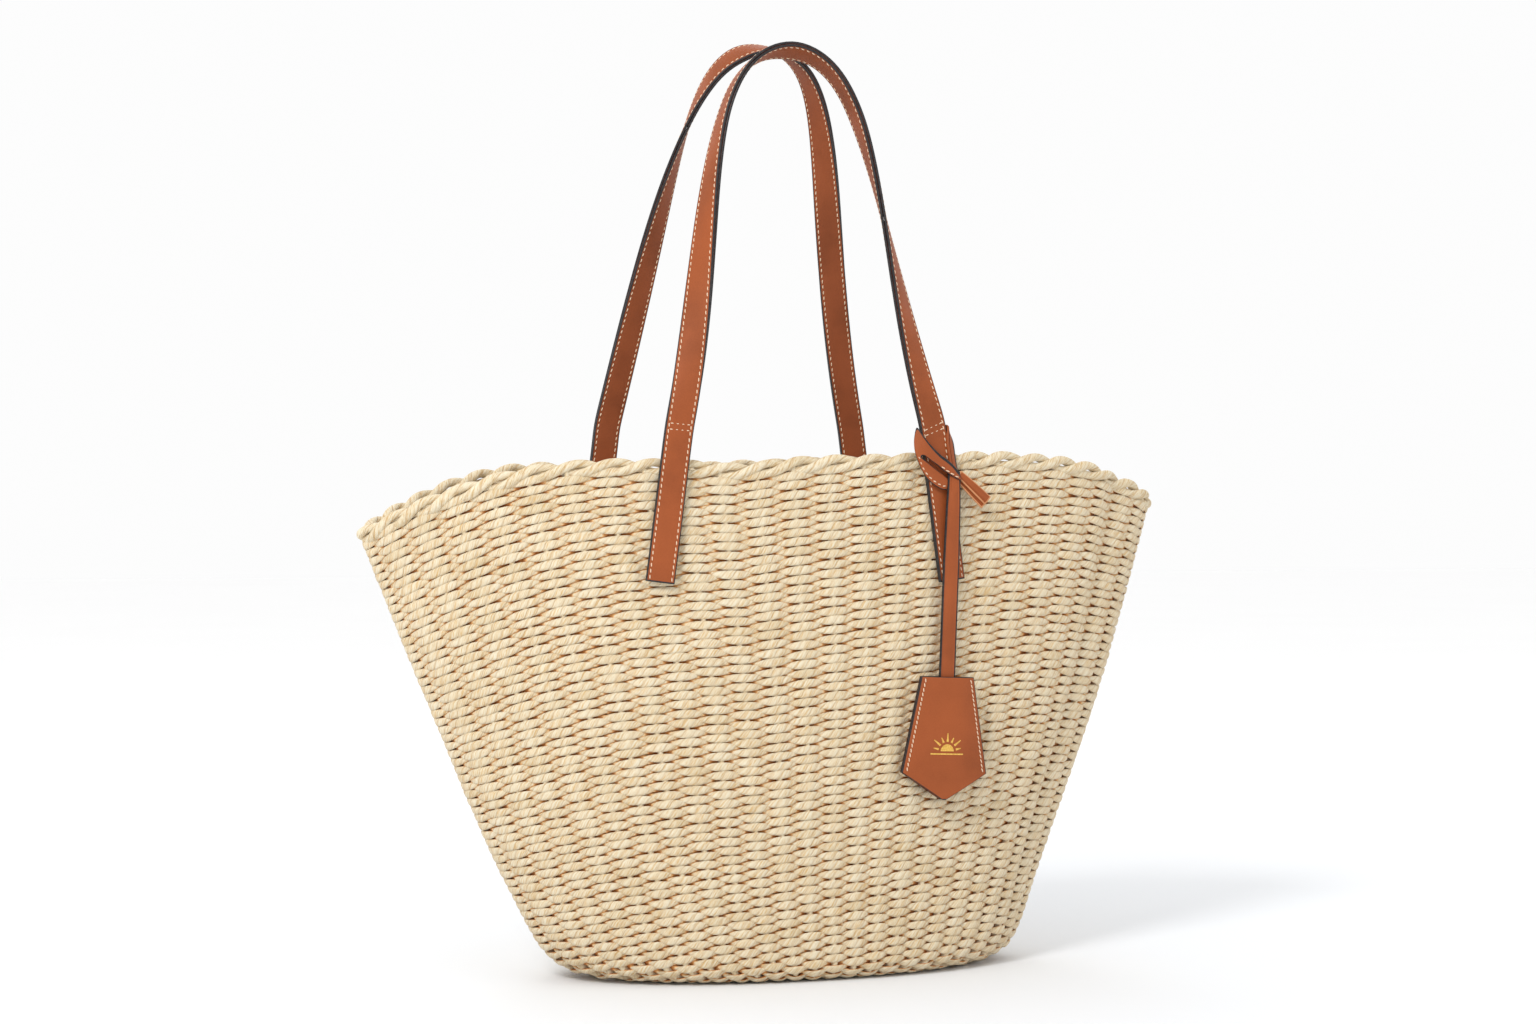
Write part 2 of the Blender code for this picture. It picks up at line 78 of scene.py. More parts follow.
# The weave.
STAKES = 50
STEPS_PER_STAKE = 8
STATIONS = STAKES * STEPS_PER_STAKE
ROW_PITCH = 0.00305
MIDDLE_INSET = 0.0038
TURN_RADIUS = FOOT_RADIUS - MIDDLE_INSET
WALL_PATH = RIM_HEIGHT_MIDDLE - FOOT_RADIUS
FIRST_ROW = 0.0090
BASE_PATH = 0.057
WHOLE_PATH = WALL_PATH + TURN_RADIUS * math.pi / 2 + BASE_PATH
ROWS_PER_BAND = 27
BORDER_CORE = 0.0053
BORDER_REACH = (0.0019, 0.0032)
BORDER_SHIFT = 0.0003
BORDER_PHASE = 0.22
BORDER_WANDER = 0.06
BORDER_SWELL = 0.07
BORDER_STRAND = (0.0032, 0.0027)
ROW_WANDER = 0.00042
FLOAT_REACH = 0.0023
FLOAT_SLANT = 0.0003
FLOAT_HALF_HEIGHT = 0.00168
FLOAT_HEIGHT_GAIN = 0.00134
FLOAT_HALF_THICKNESS = 0.00150
FLOAT_THICKNESS_LOSS = 0.00038
FLOAT_SQUARENESS = 0.80
FULL_STATION_LENGTH = 0.0026
WAVE_FLATNESS = 0.4
# How the painted shade in the weave follows how far inside the weave each point of a cord lies.
DEEPEST = 0.0015
DEPTH_SPAN = 0.0042
BETWEEN_ROWS_SHADE = 0.22
STRAW_SHIFT = 0.77
STAKE_STRAW_SHIFT = 1.31
STAKE_HALF_WIDTH = 0.0020
STAKE_HALF_DEPTH = 0.0027
CREASE_ANGLE = math.radians(-30)
CREASE_DEPTH = 0.0042
CREASE_SPREAD = math.radians(5.5)

# Handles, knot and tag.
STRAP_WIDTH = 0.0185
LEATHER = 0.0017
HANDLE_CENTRE_X = -0.015
TAB_SPREAD = 0.0128
TAB_BOTTOM_HEIGHT = 0.261
TAB_TOP_HEIGHT = 0.360
TAB_STAND_OFF = 0.0012
BACKING_HEIGHT = 0.055
BACKING_INSET = TAB_STAND_OFF + 0.008 + 0.0012
STRAP_START_HEIGHT = 0.363
# Where the front (-1) and the back (1) handle differ.
SEAM_HALF_SPACING = {-1: 0.087, 1: 0.090}
FLANK = {-1: (0.0538, 0.4903), 1: (0.0522, 0.5337)}
SHOULDER = {-1: 0.0618, 1: 0.0566}
APEX_HEIGHT = {-1: 0.6065, 1: 0.6202}
TIP = {-1: 0.014, 1: -0.0574}
SIDEWAYS = {-1: -0.0087, 1: 0.0053}
SEAM_TWIST = math.radians(6)
FRONT_TWIST_LENGTH = 0.205
FRONT_TWIST_POWER = 1.17
FRONT_APEX_TURN = math.radians(114)
FRONT_LAST_TURN_POWER = 10
BACK_APEX_TURN = math.radians(123)
BACK_TWIST_POWER = 2.03
BACK_TURN_SHIFT = 0.0177
LAYER_SPACE = 0.0002
STITCH_INSET = 0.0021
SEAM_RECESS = 0.00012
EDGE_LIP = 0.00075
SHARP_ANGLE = math.radians(50)
END_PAINT = np.array([0.00035, 0.0010])
STITCH_OFFSET = STRAP_WIDTH / 2 - STITCH_INSET
STITCH_LENGTH = 0.0030
STITCH_PITCH = 0.0039
STITCH_RADIUS = 0.00038
STITCH_LIFT = 0.00048
STITCH_DIP = 0.00035
SEAM_ROWS = (0.3568, 0.3606)
SEAM_TILT = (0.0004, 0.0016)
TAB_LINE_TOP = 0.3575
BAND_THICKNESS = 0.0018
TAIL_LEATHER = 0.0014
TAG_HINGE_X = 0.0845
TAG_HINGE_HEIGHT = 0.3265
TAG_PLANE = -0.0855
TAG_SLANT = math.radians(2.3)
TAG_STRAP_TOP = 0.3255
TAG_STRAP_BOTTOM = 0.162
TAG_STRAP_WIDTH = 0.0113
TAG_TOP_HEIGHT = 0.198
TAG_SIDE_HEIGHT = 0.063
TAG_POINT_DEPTH = 0.0175
TAG_TOP_HALF_WIDTH = 0.0186
TAG_BOTTOM_HALF_WIDTH = 0.030
TAG_SWELL = 0.0034
SWELL_FALL_START = 0.045
SWELL_FALL = 0.55
TAG_LEATHER = 0.0016
SUN_DEPTH = 0.0485

random = np.random.default_rng(7)


# ---------------------------------------------------------------- mesh helpers

def added(name, data):
    made = bpy.data.objects.new(name, data)
    bpy.context.scene.collection.objects.link(made)
    return made


def mesh_object(name, points, faces, corner_uvs, material_of_face, materials):
    """A smooth-shaded mesh from arrays: the rows of each index array in faces are faces of one size."""
    mesh = bpy.data.meshes.new(name)
    mesh.vertices.add(len(points))
    mesh.vertices.foreach_set("co", np.asarray(points, np.float32).ravel())
    sizes = np.concatenate([np.full(len(f), f.shape[1]) for f in faces])
    corners = np.concatenate([f.ravel() for f in faces])
    mesh.loops.add(len(corners))
    mesh.loops.foreach_set("vertex_index", corners.astype(np.int32))
    mesh.polygons.add(len(sizes))
    mesh.polygons.foreach_set("loop_start", np.concatenate([[0], np.cumsum(sizes)[:-1]]).astype(np.int32))
    layer = mesh.uv_layers.new(name="cord")
    mesh.update(calc_edges=True)
    uvs = np.concatenate([c.reshape(-1, 2) for c in corner_uvs])
    layer.data.foreach_set("uv", uvs.astype(np.float32).ravel())
    for finish in materials:
        mesh.materials.append(finish)
    mesh.polygons.foreach_set("material_index", material_of_face.astype(np.int32))
    mesh.shade_smooth()
    mesh.update()
    return added(name, mesh)


def plain_object(name, points, faces, finish):
    mesh = bpy.data.meshes.new(name)
    mesh.from_pydata(points, [], faces)
    mesh.materials.append(finish)
    return added(name, mesh)


def tubes(name, points, along, materials, closed=False, around_material=None, sharp=None, painted_ends=(0, 0),
          depth=None):
    """Tubes swept through rings of points, shaped (tube, station, side, 3). along holds each station's
    distance, shaped (tube, station + 1 if closed). around_material gives each side strip's material, and
    painted_ends how many strips at each end take the last material. depth is a number for each point, for
    the material to read."""
    count, stations, sides, _ = points.shape
    index = np.arange(count * stations * sides).reshape(count, stations, sides)
    across = np.concatenate([index, index[:, :1]], 1) if closed else index
    ring = np.concatenate([across, across[:, :, :1]], 2)
    quads = np.stack([ring[:, :-1, :-1], ring[:, :-1, 1:], ring[:, 1:, 1:], ring[:, 1:, :-1]], -1)
    strips = quads.shape[1]
    u = along[:, :, None].repeat(sides + 1, 2)
    v = (np.arange(sides + 1) / sides)[None, None, :].repeat(u.shape[1], 1).repeat(count, 0)
    uv = np.stack([u, v], -1)
    corner = np.stack([uv[:, :-1, :-1], uv[:, :-1, 1:], uv[:, 1:, 1:], uv[:, 1:, :-1]], -2)
    side_finish = np.zeros(sides, int) if around_material is None else np.asarray(around_material)
    finish = np.array(np.broadcast_to(side_finish, (count, strips, sides)))
    finish[:, :painted_ends[0]] = len(materials) - 1
    finish[:, strips - painted_ends[1]:] = len(materials) - 1
    first = points[0, 0] - points[0, 0].mean(0)
    second = points[0, 1].mean(0) - points[0, 0].mean(0)
    facing = np.dot(np.cross(first, np.roll(first, -1, 0)).sum(0), second)
    faces, uvs, finishes = [quads.reshape(-1, 4)], [corner.reshape(-1, 4, 2)], [finish.ravel()]
    if not closed:
        faces.append(index[:, 0, ::-1])
        faces.append(index[:, -1])
        for end, painted in zip((0, -1), painted_ends):
            uvs.append(np.repeat(uv[:, end, :1], sides, 1))
            finishes.append(np.full(count, len(materials) - 1 if painted else 0))
    if facing <= 0:
        faces = [f[:, ::-1] for f in faces]
        uvs = [c[:, ::-1] for c in uvs]
    made = mesh_object(name, points.reshape(-1, 3), faces, uvs, np.concatenate(finishes), materials)
    if sharp is not None:
        made.data.set_sharp_from_angle(angle=sharp)
    # The depth attribute is the mask that the straw material reads for its painted shade.
    if depth is not None:
        layer = made.data.attributes.new("depth", "FLOAT", "POINT")
        layer.data.foreach_set("value", depth.ravel().astype(np.float32))
    return made


def unit(vectors):
    return vectors / np.maximum(np.linalg.norm(vectors, axis=-1, keepdims=True), 1e-12)


def square_to(vectors, run):
    """Unit vectors square to run, nearest to the given ones."""
    return unit(vectors - run * (vectors * run).sum(-1, keepdims=True))


def resample(places, distance, values):
    """Rows of values, known at distances along a line, at other places."""
    return np.stack([np.interp(places, distance, values[:, k]) for k in range(values.shape[1])], -1)


def way_round(points, axis):
    """Directions along closed lines of points."""
    return unit(np.roll(points, -1, axis) - np.roll(points, 1, axis))


def oval(sides, first, second):
    angle = 2 * np.pi * np.arange(sides) / sides
    return np.stack([first * np.cos(angle), second * np.sin(angle)], -1)


def ring_points(centres, first, second, outline):
    """Rings of points round centres: outline holds (first, second) offsets, shaped like the rings."""
    offsets = first[..., None, :] * outline[..., 0:1] + second[..., None, :] * outline[..., 1:2]
    return centres[..., None, :] + offsets


def lengths_of(path):
    steps = np.linalg.norm(np.diff(path, axis=-2), axis=-1)
    return np.concatenate([np.zeros(steps.shape[:-1] + (1,)), np.cumsum(steps, -1)], -1)


# ---------------------------------------------------------------- the body's shape

def half_length(level):
    spread = BASE_HALF_LENGTH + (RIM_HALF_LENGTH - BASE_HALF_LENGTH) * level
    tucked = END_TUCK * np.maximum(0.0, 1 - level / END_TUCK_LEVEL) ** END_TUCK_POWER
    return spread + SIDE_BULGE * np.sin(np.pi * level) - tucked


def half_depth(level):
    return BASE_HALF_DEPTH + (RIM_HALF_DEPTH - BASE_HALF_DEPTH) * level + WALL_BULGE * np.sin(np.pi * level)


def depth_share(across, level):
    q = np.minimum(np.abs(across), 1.0)
    at_base = np.sqrt(np.maximum(0.0, 1 - q**BASE_POWER))
    end = np.where(across > 0, RIGHT_END_ROUNDNESS, LEFT_END_ROUNDNESS)
    at_rim = (1 - end) * (1 - q**RIM_POWER) + end * np.sqrt(np.maximum(0.0, 1 - q**BLUNT_POWER))
    return (1 - level) * at_base + level * at_rim


def rim_height(across):
    """The rim's height at a share of the half length, a little uneven, as hand weaving is."""
    q = np.minimum(np.abs(across), 1.0)
    height = RIM_HEIGHT_ENDS + (RIM_HEIGHT_MIDDLE - RIM_HEIGHT_ENDS) * (1 - q**RIM_DROP_POWER)
    for place, spread, rise in (RIM_SWELL, RIM_DIP):
        height = height + rise * np.exp(-(((across - place) / spread) ** 2))
    return height


def shell(around, path, inset=MIDDLE_INSET):
    """Points of the straw wall's middle surface, or of another inset's: path is the distance from the rim
    down the wall, round the foot and in under the base."""
    across = np.sign(np.cos(around)) * np.abs(np.cos(around)) ** (2 / BASE_POWER)
    rim = rim_height(across)
    wall = (WALL_PATH - path) / WALL_PATH
    turn = np.clip((path - WALL_PATH) / TURN_RADIUS, 0, math.pi / 2)
    flat = np.maximum(path - WALL_PATH - TURN_RADIUS * math.pi / 2, 0)
    on_wall = path < WALL_PATH
    z = np.where(on_wall, FOOT_RADIUS + (rim - FOOT_RADIUS) * wall, FOOT_RADIUS - TURN_RADIUS * np.sin(turn))
    level = np.where(on_wall, z / rim, FOOT_RADIUS / rim * (1 - 2 * turn / math.pi))
    turned = (around + math.pi) % (2 * math.pi) - math.pi
    fold = np.exp(-(((np.abs(turned) - abs(CREASE_ANGLE)) / CREASE_SPREAD) ** 2)) * np.clip(wall * 4, 0, 1)
    inward = inset + np.where(on_wall, 0, TURN_RADIUS * (1 - np.cos(turn))) + flat + CREASE_DEPTH * fold
    x = across * (half_length(level) - inward)
    y = np.sign(np.sin(around)) * depth_share(across, level) * (half_depth(level) - inward)
    share = np.clip(z / SWAY_HEIGHT, 0, 1)
    sway = SWAY * share * (1 - share) ** 2 * 27 / 4
    return np.stack([x - LEAN * z - sway, y, z + LEAN * x * np.maximum(level, 0)], -1)


def even_angles(count):
    """Angles from -pi to pi that share the plan's outline into equal lengths, with one at the right end."""
    fine = np.linspace(-math.pi, math.pi, 4001)
    lengths = lengths_of(shell(fine, WALL_PATH * 0.4, 0.0))
    middle = np.interp(0, fine, lengths)
    wanted = (middle + lengths[-1] * np.arange(count) / count) % lengths[-1]
    return np.interp(wanted, lengths, fine)


ANGLES = even_angles(STATIONS)


def shell_frame(path, angles=None):
    """Points, direction round, direction up and direction out of the middle surface, for paths shaped
    (rows, 1) or (rows, stations)."""
    angles = ANGLES if angles is None else angles
    around = np.broadcast_to(angles, np.broadcast_shapes(path.shape, angles.shape))
    path = np.broadcast_to(path, around.shape)
    here = shell(around, path)
    along = way_round(here, -2)
    rise = shell(around, path - 0.0008) - shell(around, path + 0.0008)
    out = unit(np.cross(along, rise))
    return here, along, unit(np.cross(out, along)), out


# ---------------------------------------------------------------- materials

WHITE = (1, 1, 1)
BLACK = (0, 0, 0)
# Painted shade and painted warm bounced light for the straw's colour, from the deepest places between the
# rows, darkest, to the ones in the light, left as they are.
CREVICE_PAINTED_SHADE = ((0.06, (0.62, 0.24, 0.09)), (0.34, (0.98, 0.50, 0.22)), (0.48, (1.16, 0.90, 0.62)),
                 (0.58, WHITE))


def new_material(name, colour, roughness, specular):
    made = bpy.data.materials.new(name)
    made.use_nodes = True
    shader = made.node_tree.nodes["Principled BSDF"]
    shader.inputs["Base Color"].default_value = (*colour, 1)
    shader.inputs["Roughness"].default_value = roughness
    shader.inputs["Specular IOR Level"].default_value = specular
    return made, made.node_tree, shader


def node(tree, kind, **settings):
    made = tree.nodes.new(kind)
    for key, value in settings.items():
        if key in made.inputs:
            made.inputs[key].default_value = value
        else:
            setattr(made, key, value)
    return made


def feed(tree, sockets, values):
    """Sets each socket to a number or a colour, or links it to another node's output."""
    for socket, value in zip(sockets, values):
        if isinstance(value, (int, float)):
            socket.default_value = value
        elif isinstance(value, tuple):
            socket.default_value = (*value, 1)
        else:
            tree.links.new(value, socket)


def math_node(tree, operation, *values):
    made = node(tree, "ShaderNodeMath", operation=operation)
    feed(tree, made.inputs, values)
    return made.outputs[0]


def times(tree, a, b):
    return math_node(tree, "MULTIPLY", a, b)


def plus(tree, a, b):
    return math_node(tree, "ADD", a, b)


def combine(tree, *values):
    made = node(tree, "ShaderNodeCombineXYZ")
    feed(tree, made.inputs, values)
    return made.outputs[0]


def object_place(tree):
    return node(tree, "ShaderNodeTexCoord").outputs["Object"]


def noise(tree, vector, scale, detail=2.0, roughness=0.5):
    made = node(tree, "ShaderNodeTexNoise", Scale=scale, Detail=detail, Roughness=roughness)
    tree.links.new(vector, made.inputs["Vector"])
    return made.outputs["Fac"]


def ramp(tree, factor, *stops):
    """A colour ramp through (position, colour) stops."""
    made = node(tree, "ShaderNodeValToRGB")
    elements = made.color_ramp.elements
    while len(elements) < len(stops):
        elements.new(0.5)
    for element, (place, colour) in zip(elements, stops):
        element.position = place
        element.color = (*colour, 1)
    tree.links.new(factor, made.inputs["Fac"])
    return made.outputs["Color"]


def mix(tree, factor, a, b, blend="MIX"):
    made = node(tree, "ShaderNodeMix", data_type="RGBA", blend_type=blend)
    feed(tree, [s for s in made.inputs if s.enabled], (factor, a, b))
    return next(s for s in made.outputs if s.enabled)


def tinted(tree, a, b):
    return mix(tree, 1.0, a, b, "MULTIPLY")


def bump(tree, shader, height, strength, distance):
    made = node(tree, "ShaderNodeBump", Strength=strength, Distance=distance)
    tree.links.new(height, made.inputs["Height"])
    tree.links.new(made.outputs["Normal"], shader.inputs["Normal"])


def twist(tree, turns):
    """The distance along a twisted cord in metres and the angle round it, for some turns a metre."""
    split = node(tree, "ShaderNodeSeparateXYZ")
    tree.links.new(node(tree, "ShaderNodeUVMap", uv_map="cord").outputs[0], split.inputs[0])
    along, around = split.outputs[0], split.outputs[1]
    return along, plus(tree, times(tree, around, 2 * math.pi), times(tree, along, 2 * math.pi * turns))


def straw_material(name, light, dark, groove_shade_colour, turns=75.0, painted_crevice_shade=False):
    """Twisted paper straw: fibres that run round the cord in a helix, two plies, and painted shade in the ply
    grooves.
    The last argument adds painted shade where the mesh marks the cord as lying far inside the weave, and
    painted warm bounced light beside it."""
    made, tree, shader = new_material(name, light, 0.82, 0.25)
    along, turned = twist(tree, turns)
    cosine = math_node(tree, "COSINE", turned)
    sine = math_node(tree, "SINE", turned)
    coarse = noise(tree, combine(tree, cosine, sine, times(tree, along, 38.0)), 2.1, 3.0, 0.55)
    fine = noise(tree, combine(tree, cosine, sine, times(tree, along, 90.0)), 4.2, 2.0, 0.6)
    piece = noise(tree, combine(tree, times(tree, along, 19.0), 0.0, 0.0), 1.0, 1.0)
    ply = math_node(tree, "ABSOLUTE", sine)
    fibres = plus(tree, times(tree, coarse, 0.5), times(tree, fine, 0.5))
    between = tuple(0.4 * a + 0.6 * b for a, b in zip(dark, light))
    body = ramp(tree, fibres, (0.395, dark), (0.475, between), (0.565, light))
    tint = ramp(tree, piece, (0.3, (0.90, 0.86, 0.78)), (0.55, WHITE), (0.75, (1.0, 0.97, 0.90)))
    # Painted shade in the grooves between the two plies: the groove colour is mixed in there.
    ply_groove_shade = ramp(tree, ply, (0.0, WHITE), (0.34, BLACK))
    colour = mix(tree, times(tree, ply_groove_shade, 0.45), tinted(tree, body, tint), groove_shade_colour)
    # Painted shade where the cord lies far inside the weave, and painted warm bounced light beside it.
    if painted_crevice_shade:
        shown = node(tree, "ShaderNodeAttribute", attribute_name="depth").outputs["Fac"]
        colour = tinted(tree, colour, ramp(tree, shown, *CREVICE_PAINTED_SHADE))
    tree.links.new(colour, shader.inputs["Base Color"])
    rounded = math_node(tree, "POWER", ply, 0.5)
    bump(tree, shader, plus(tree, times(tree, fibres, 0.8), times(tree, rounded, 0.5)), 1.0, 0.0010)
    shader.inputs["Sheen Weight"].default_value = 0.08
    shader.inputs["Sheen Roughness"].default_value = 0.5
    return made


def leather_material(name, colour, roughness, variation=0.12):
    """Smooth tan leather: fine grain, faint cloudy colour and a soft sheen."""
    made, tree, shader = new_material(name, colour, roughness, 0.22)
    place = object_place(tree)
    cloud = noise(tree, place, 26.0, 3.0, 0.55)
    grain = noise(tree, place, 1500.0, 3.0, 0.6)
    cells = node(tree, "ShaderNodeTexVoronoi", Scale=900.0, feature="DISTANCE_TO_EDGE")
    tree.links.new(place, cells.inputs["Vector"])
    darker = tuple(c * (1 - 1.6 * variation) for c in colour)
    lighter = tuple(min(1.0, c * (1 + variation)) for c in colour)
    base = ramp(tree, cloud, (0.3, darker), (0.5, colour), (0.72, lighter))
    speck = ramp(tree, grain, (0.3, (0.90, 0.88, 0.86)), (0.6, WHITE))
    tree.links.new(tinted(tree, base, speck), shader.inputs["Base Color"])
    spread = ramp(tree, cloud, (0.3, (roughness + 0.06,) * 3), (0.7, (roughness - 0.05,) * 3))
    tree.links.new(spread, shader.inputs["Roughness"])
    pores = math_node(tree, "MINIMUM", times(tree, cells.outputs["Distance"], 3.0), 0.4)
    bump(tree, shader, plus(tree, times(tree, grain, 0.5), pores), 0.22, 0.00025)
    return made


def film_material(name, colour, roughness, specular, scale, stops, relief, metallic=0.0):
    """A thin film on the leather, uneven in colour and height. relief is its bump's strength and depth."""
    made, tree, shader = new_material(name, colour, roughness, specular)
    shader.inputs["Metallic"].default_value = metallic
    uneven = noise(tree, object_place(tree), scale, 3.0)
    tree.links.new(ramp(tree, uneven, *stops), shader.inputs["Base Color"])
    bump(tree, shader, uneven, *relief)
    return made


def thread_material():
    """Waxed cream thread with a two-ply twist."""
    made, tree, shader = new_material("stitch_thread", (0.74, 0.55, 0.38), 0.6, 0.35)
    _, turned = twist(tree, 420.0)
    ply = math_node(tree, "ABSOLUTE", math_node(tree, "SINE", turned))
    # Painted shade in the grooves between the plies, and painted light on their crowns.
    ply_painted_shade = ramp(tree, ply, (0.0, (0.45, 0.28, 0.17)), (0.4, (0.74, 0.55, 0.38)), (1.0, (0.84, 0.66, 0.48)))
    tree.links.new(ply_painted_shade, shader.inputs["Base Color"])
    bump(tree, shader, ply, 0.5, 0.0002)
    return made


# Each straw's third colour is the painted shade in its ply grooves.
STRAW = straw_material("straw_weft", (0.75, 0.672, 0.508), (0.62, 0.42, 0.200), (0.50, 0.28, 0.10),
                       painted_crevice_shade=True)
STAKE_STRAW = straw_material("straw_stake", (0.76, 0.67, 0.50), (0.66, 0.50, 0.28), (0.5, 0.31, 0.13))
BORDER_STRAW = straw_material("straw_border", (0.75, 0.672, 0.508), (0.56, 0.39, 0.190), (0.50, 0.27, 0.09),
                              turns=26.0)
TAN = leather_material("tan_leather", (0.300, 0.072, 0.0185), 0.50)
LINING = leather_material("lining_leather", (0.250, 0.062, 0.018), 0.58)
RAW = leather_material("raw_leather_edge", (0.56, 0.25, 0.11), 0.62)
EDGE = film_material("edge_paint", (0.012, 0.010, 0.011), 0.42, 0.35, 420.0,
                     ((0.35, (0.009, 0.008, 0.009)), (0.7, (0.030, 0.024, 0.024))), (0.3, 0.0003))
THREAD = thread_material()
FOIL = film_material("gold_foil", (0.72, 0.42, 0.08), 0.34, 0.5, 900.0,
                     ((0.35, (0.62, 0.34, 0.06)), (0.65, (0.80, 0.50, 0.11))), (0.2, 0.0002), metallic=0.55)


# ---------------------------------------------------------------- straw

def smooth_random(rows, step):
    """Random numbers between -1 and 1 that change gently from stake to stake, shaped (rows, stations)."""
    knots = random.uniform(-1, 1, (rows, STAKES))
    place = np.arange(STATIONS) / STEPS_PER_STAKE + step
    low = np.floor(place).astype(int)
    share = place - low
    share = share * share * (3 - 2 * share)
    return knots[:, low % STAKES] * (1 - share) + knots[:, (low + 1) % STAKES] * share


def weft_rings(paths, first_row):
    """Rings of points along woven cords, one closed cord for each path, which pass outside and inside the
    stakes by turns."""
    rows = len(paths)
    row = np.arange(first_row, first_row + rows)[:, None]
    phase = np.arange(STATIONS)[None, :] / STEPS_PER_STAKE + row
    path = paths[:, None] + ROW_WANDER * smooth_random(rows, 0.0) - FLOAT_SLANT * np.sin(np.pi * phase)
    here, along, up, out = shell_frame(path)
    cosine = np.cos(np.pi * phase)
    wave = (1 - WAVE_FLATNESS) * cosine + WAVE_FLATNESS * np.sin(np.pi / 2 * cosine)
    reach = FLOAT_REACH * wave * (1 + 0.10 * smooth_random(rows, 0.3))
    station = np.linalg.norm(np.roll(here, -1, 1) - np.roll(here, 1, 1), axis=-1) / 2
    room = np.clip(station / FULL_STATION_LENGTH, 0.6, 1.1)
    high = (FLOAT_HALF_HEIGHT + FLOAT_HEIGHT_GAIN * np.abs(wave)) * (1 + 0.08 * smooth_random(rows, 0.6))
    thick = (FLOAT_HALF_THICKNESS - FLOAT_THICKNESS_LOSS * np.abs(wave)) * (0.75 + 0.25 * room)
    centre = here + out * reach[..., None]
    along = way_round(centre, 1)
    outward = unit(np.cross(along, up))
    upward = unit(np.cross(outward, along))
    sides = 8
    angle = 2 * np.pi * (np.arange(sides) + 0.5) / sides
    shape_up = np.sign(np.cos(angle)) * np.abs(np.cos(angle)) ** FLOAT_SQUARENESS
    shape_out = np.sign(np.sin(angle)) * np.abs(np.sin(angle)) ** FLOAT_SQUARENESS
    outline = np.stack([high[..., None] * shape_up, thick[..., None] * shape_out], -1)
    points = ring_points(centre, upward, outward, outline)
    closed = np.concatenate([centre, centre[:, :1]], 1)
    # depth is the mask for the painted shade: low where a cord's face lies inside the weave, and lower on its
    # top and bottom where the rows meet.
    shown = (reach[..., None] + thick[..., None] * shape_out) * np.sign(shape_out)
    depth = np.clip((shown + DEEPEST) / DEPTH_SPAN, 0, 1) * (1 - BETWEEN_ROWS_SHADE * np.abs(shape_up) ** 2)
    return points, lengths_of(closed) + row * STRAW_SHIFT, depth


def woven_bands():
    """The wall's rows in bands, from the border down the wall, round the foot and in over the base."""
    paths = np.arange(FIRST_ROW, WHOLE_PATH, ROW_PITCH)
    bands = []
    for start in range(0, len(paths), ROWS_PER_BAND):
        points, along, depth = weft_rings(paths[start:start + ROWS_PER_BAND], start)
        name = f"woven_rows_{len(bands) + 1:02d}"
        bands.append(tubes(name, points, along, [STRAW], closed=True, depth=depth))
    return bands


def stake_cords():
    """Upright stakes that the rows pass round, from the middle of the base to the border."""
    paths = np.linspace(0.004, WHOLE_PATH + 0.012, 84)
    angles = ANGLES[::STEPS_PER_STAKE]
    around = np.broadcast_to(angles, (len(paths), STAKES))
    path = np.broadcast_to(paths[:, None], around.shape)
    here, _, _, out = shell_frame(path, angles)
    centre = np.swapaxes(here, 0, 1)
    run = unit(np.gradient(centre, axis=1))
    out = np.swapaxes(out, 0, 1)
    sideways = unit(np.cross(run, out))
    out = unit(np.cross(sideways, run))
    points = ring_points(centre, sideways, out, oval(8, STAKE_HALF_WIDTH, STAKE_HALF_DEPTH)[None, None])
    along = lengths_of(centre) + np.arange(STAKES)[:, None] * STAKE_STRAW_SHIFT
    return tubes("stakes", points, along, [STAKE_STRAW])


def border_strands():
    """The border: two fat strands twisted round each other along the rim, half a turn for each stake."""
    steps = 12
    place = np.arange(STAKES * steps) / steps
    table = np.unwrap(np.concatenate([ANGLES, ANGLES[:1]]), period=2 * math.pi)
    spots = np.interp(place * STEPS_PER_STAKE, np.arange(STATIONS + 1), table)

    def core(path):
        return shell(spots, np.full(spots.shape, path))

    here = core(BORDER_CORE)
    along = way_round(here, 0)
    rise = core(BORDER_CORE - 0.001) - core(BORDER_CORE + 0.001)
    out = unit(np.cross(along, rise))
    up = unit(np.cross(out, along))
    uneven = random.uniform(-1, 1, STAKES)
    wobble = np.interp(place, np.arange(STAKES + 1), np.append(uneven, uneven[:1]))
    strands, distances = [], []
    for phase in (0, math.pi):
        turn = (np.pi * (place + BORDER_PHASE + BORDER_WANDER * wobble) + phase)[:, None]
        swell = (1 + BORDER_SWELL * wobble)[:, None]
        aside, over = np.cos(turn) * BORDER_REACH[0] + BORDER_SHIFT, np.sin(turn) * BORDER_REACH[1]
        centre = here + out * aside + up * over * swell
        run = way_round(centre, 0)
        radial = square_to(out * np.cos(turn) + up * np.sin(turn), run)
        breadth = unit(np.cross(radial, run))
        outline = oval(14, *BORDER_STRAND)[None] * swell[:, :, None]
        strands.append(ring_points(centre, breadth, radial, outline))
        distances.append(lengths_of(np.concatenate([centre, centre[:1]])) + phase)
    return tubes("border_strands", np.array(strands), np.array(distances), [BORDER_STRAW], closed=True)


# ---------------------------------------------------------------- leather strips

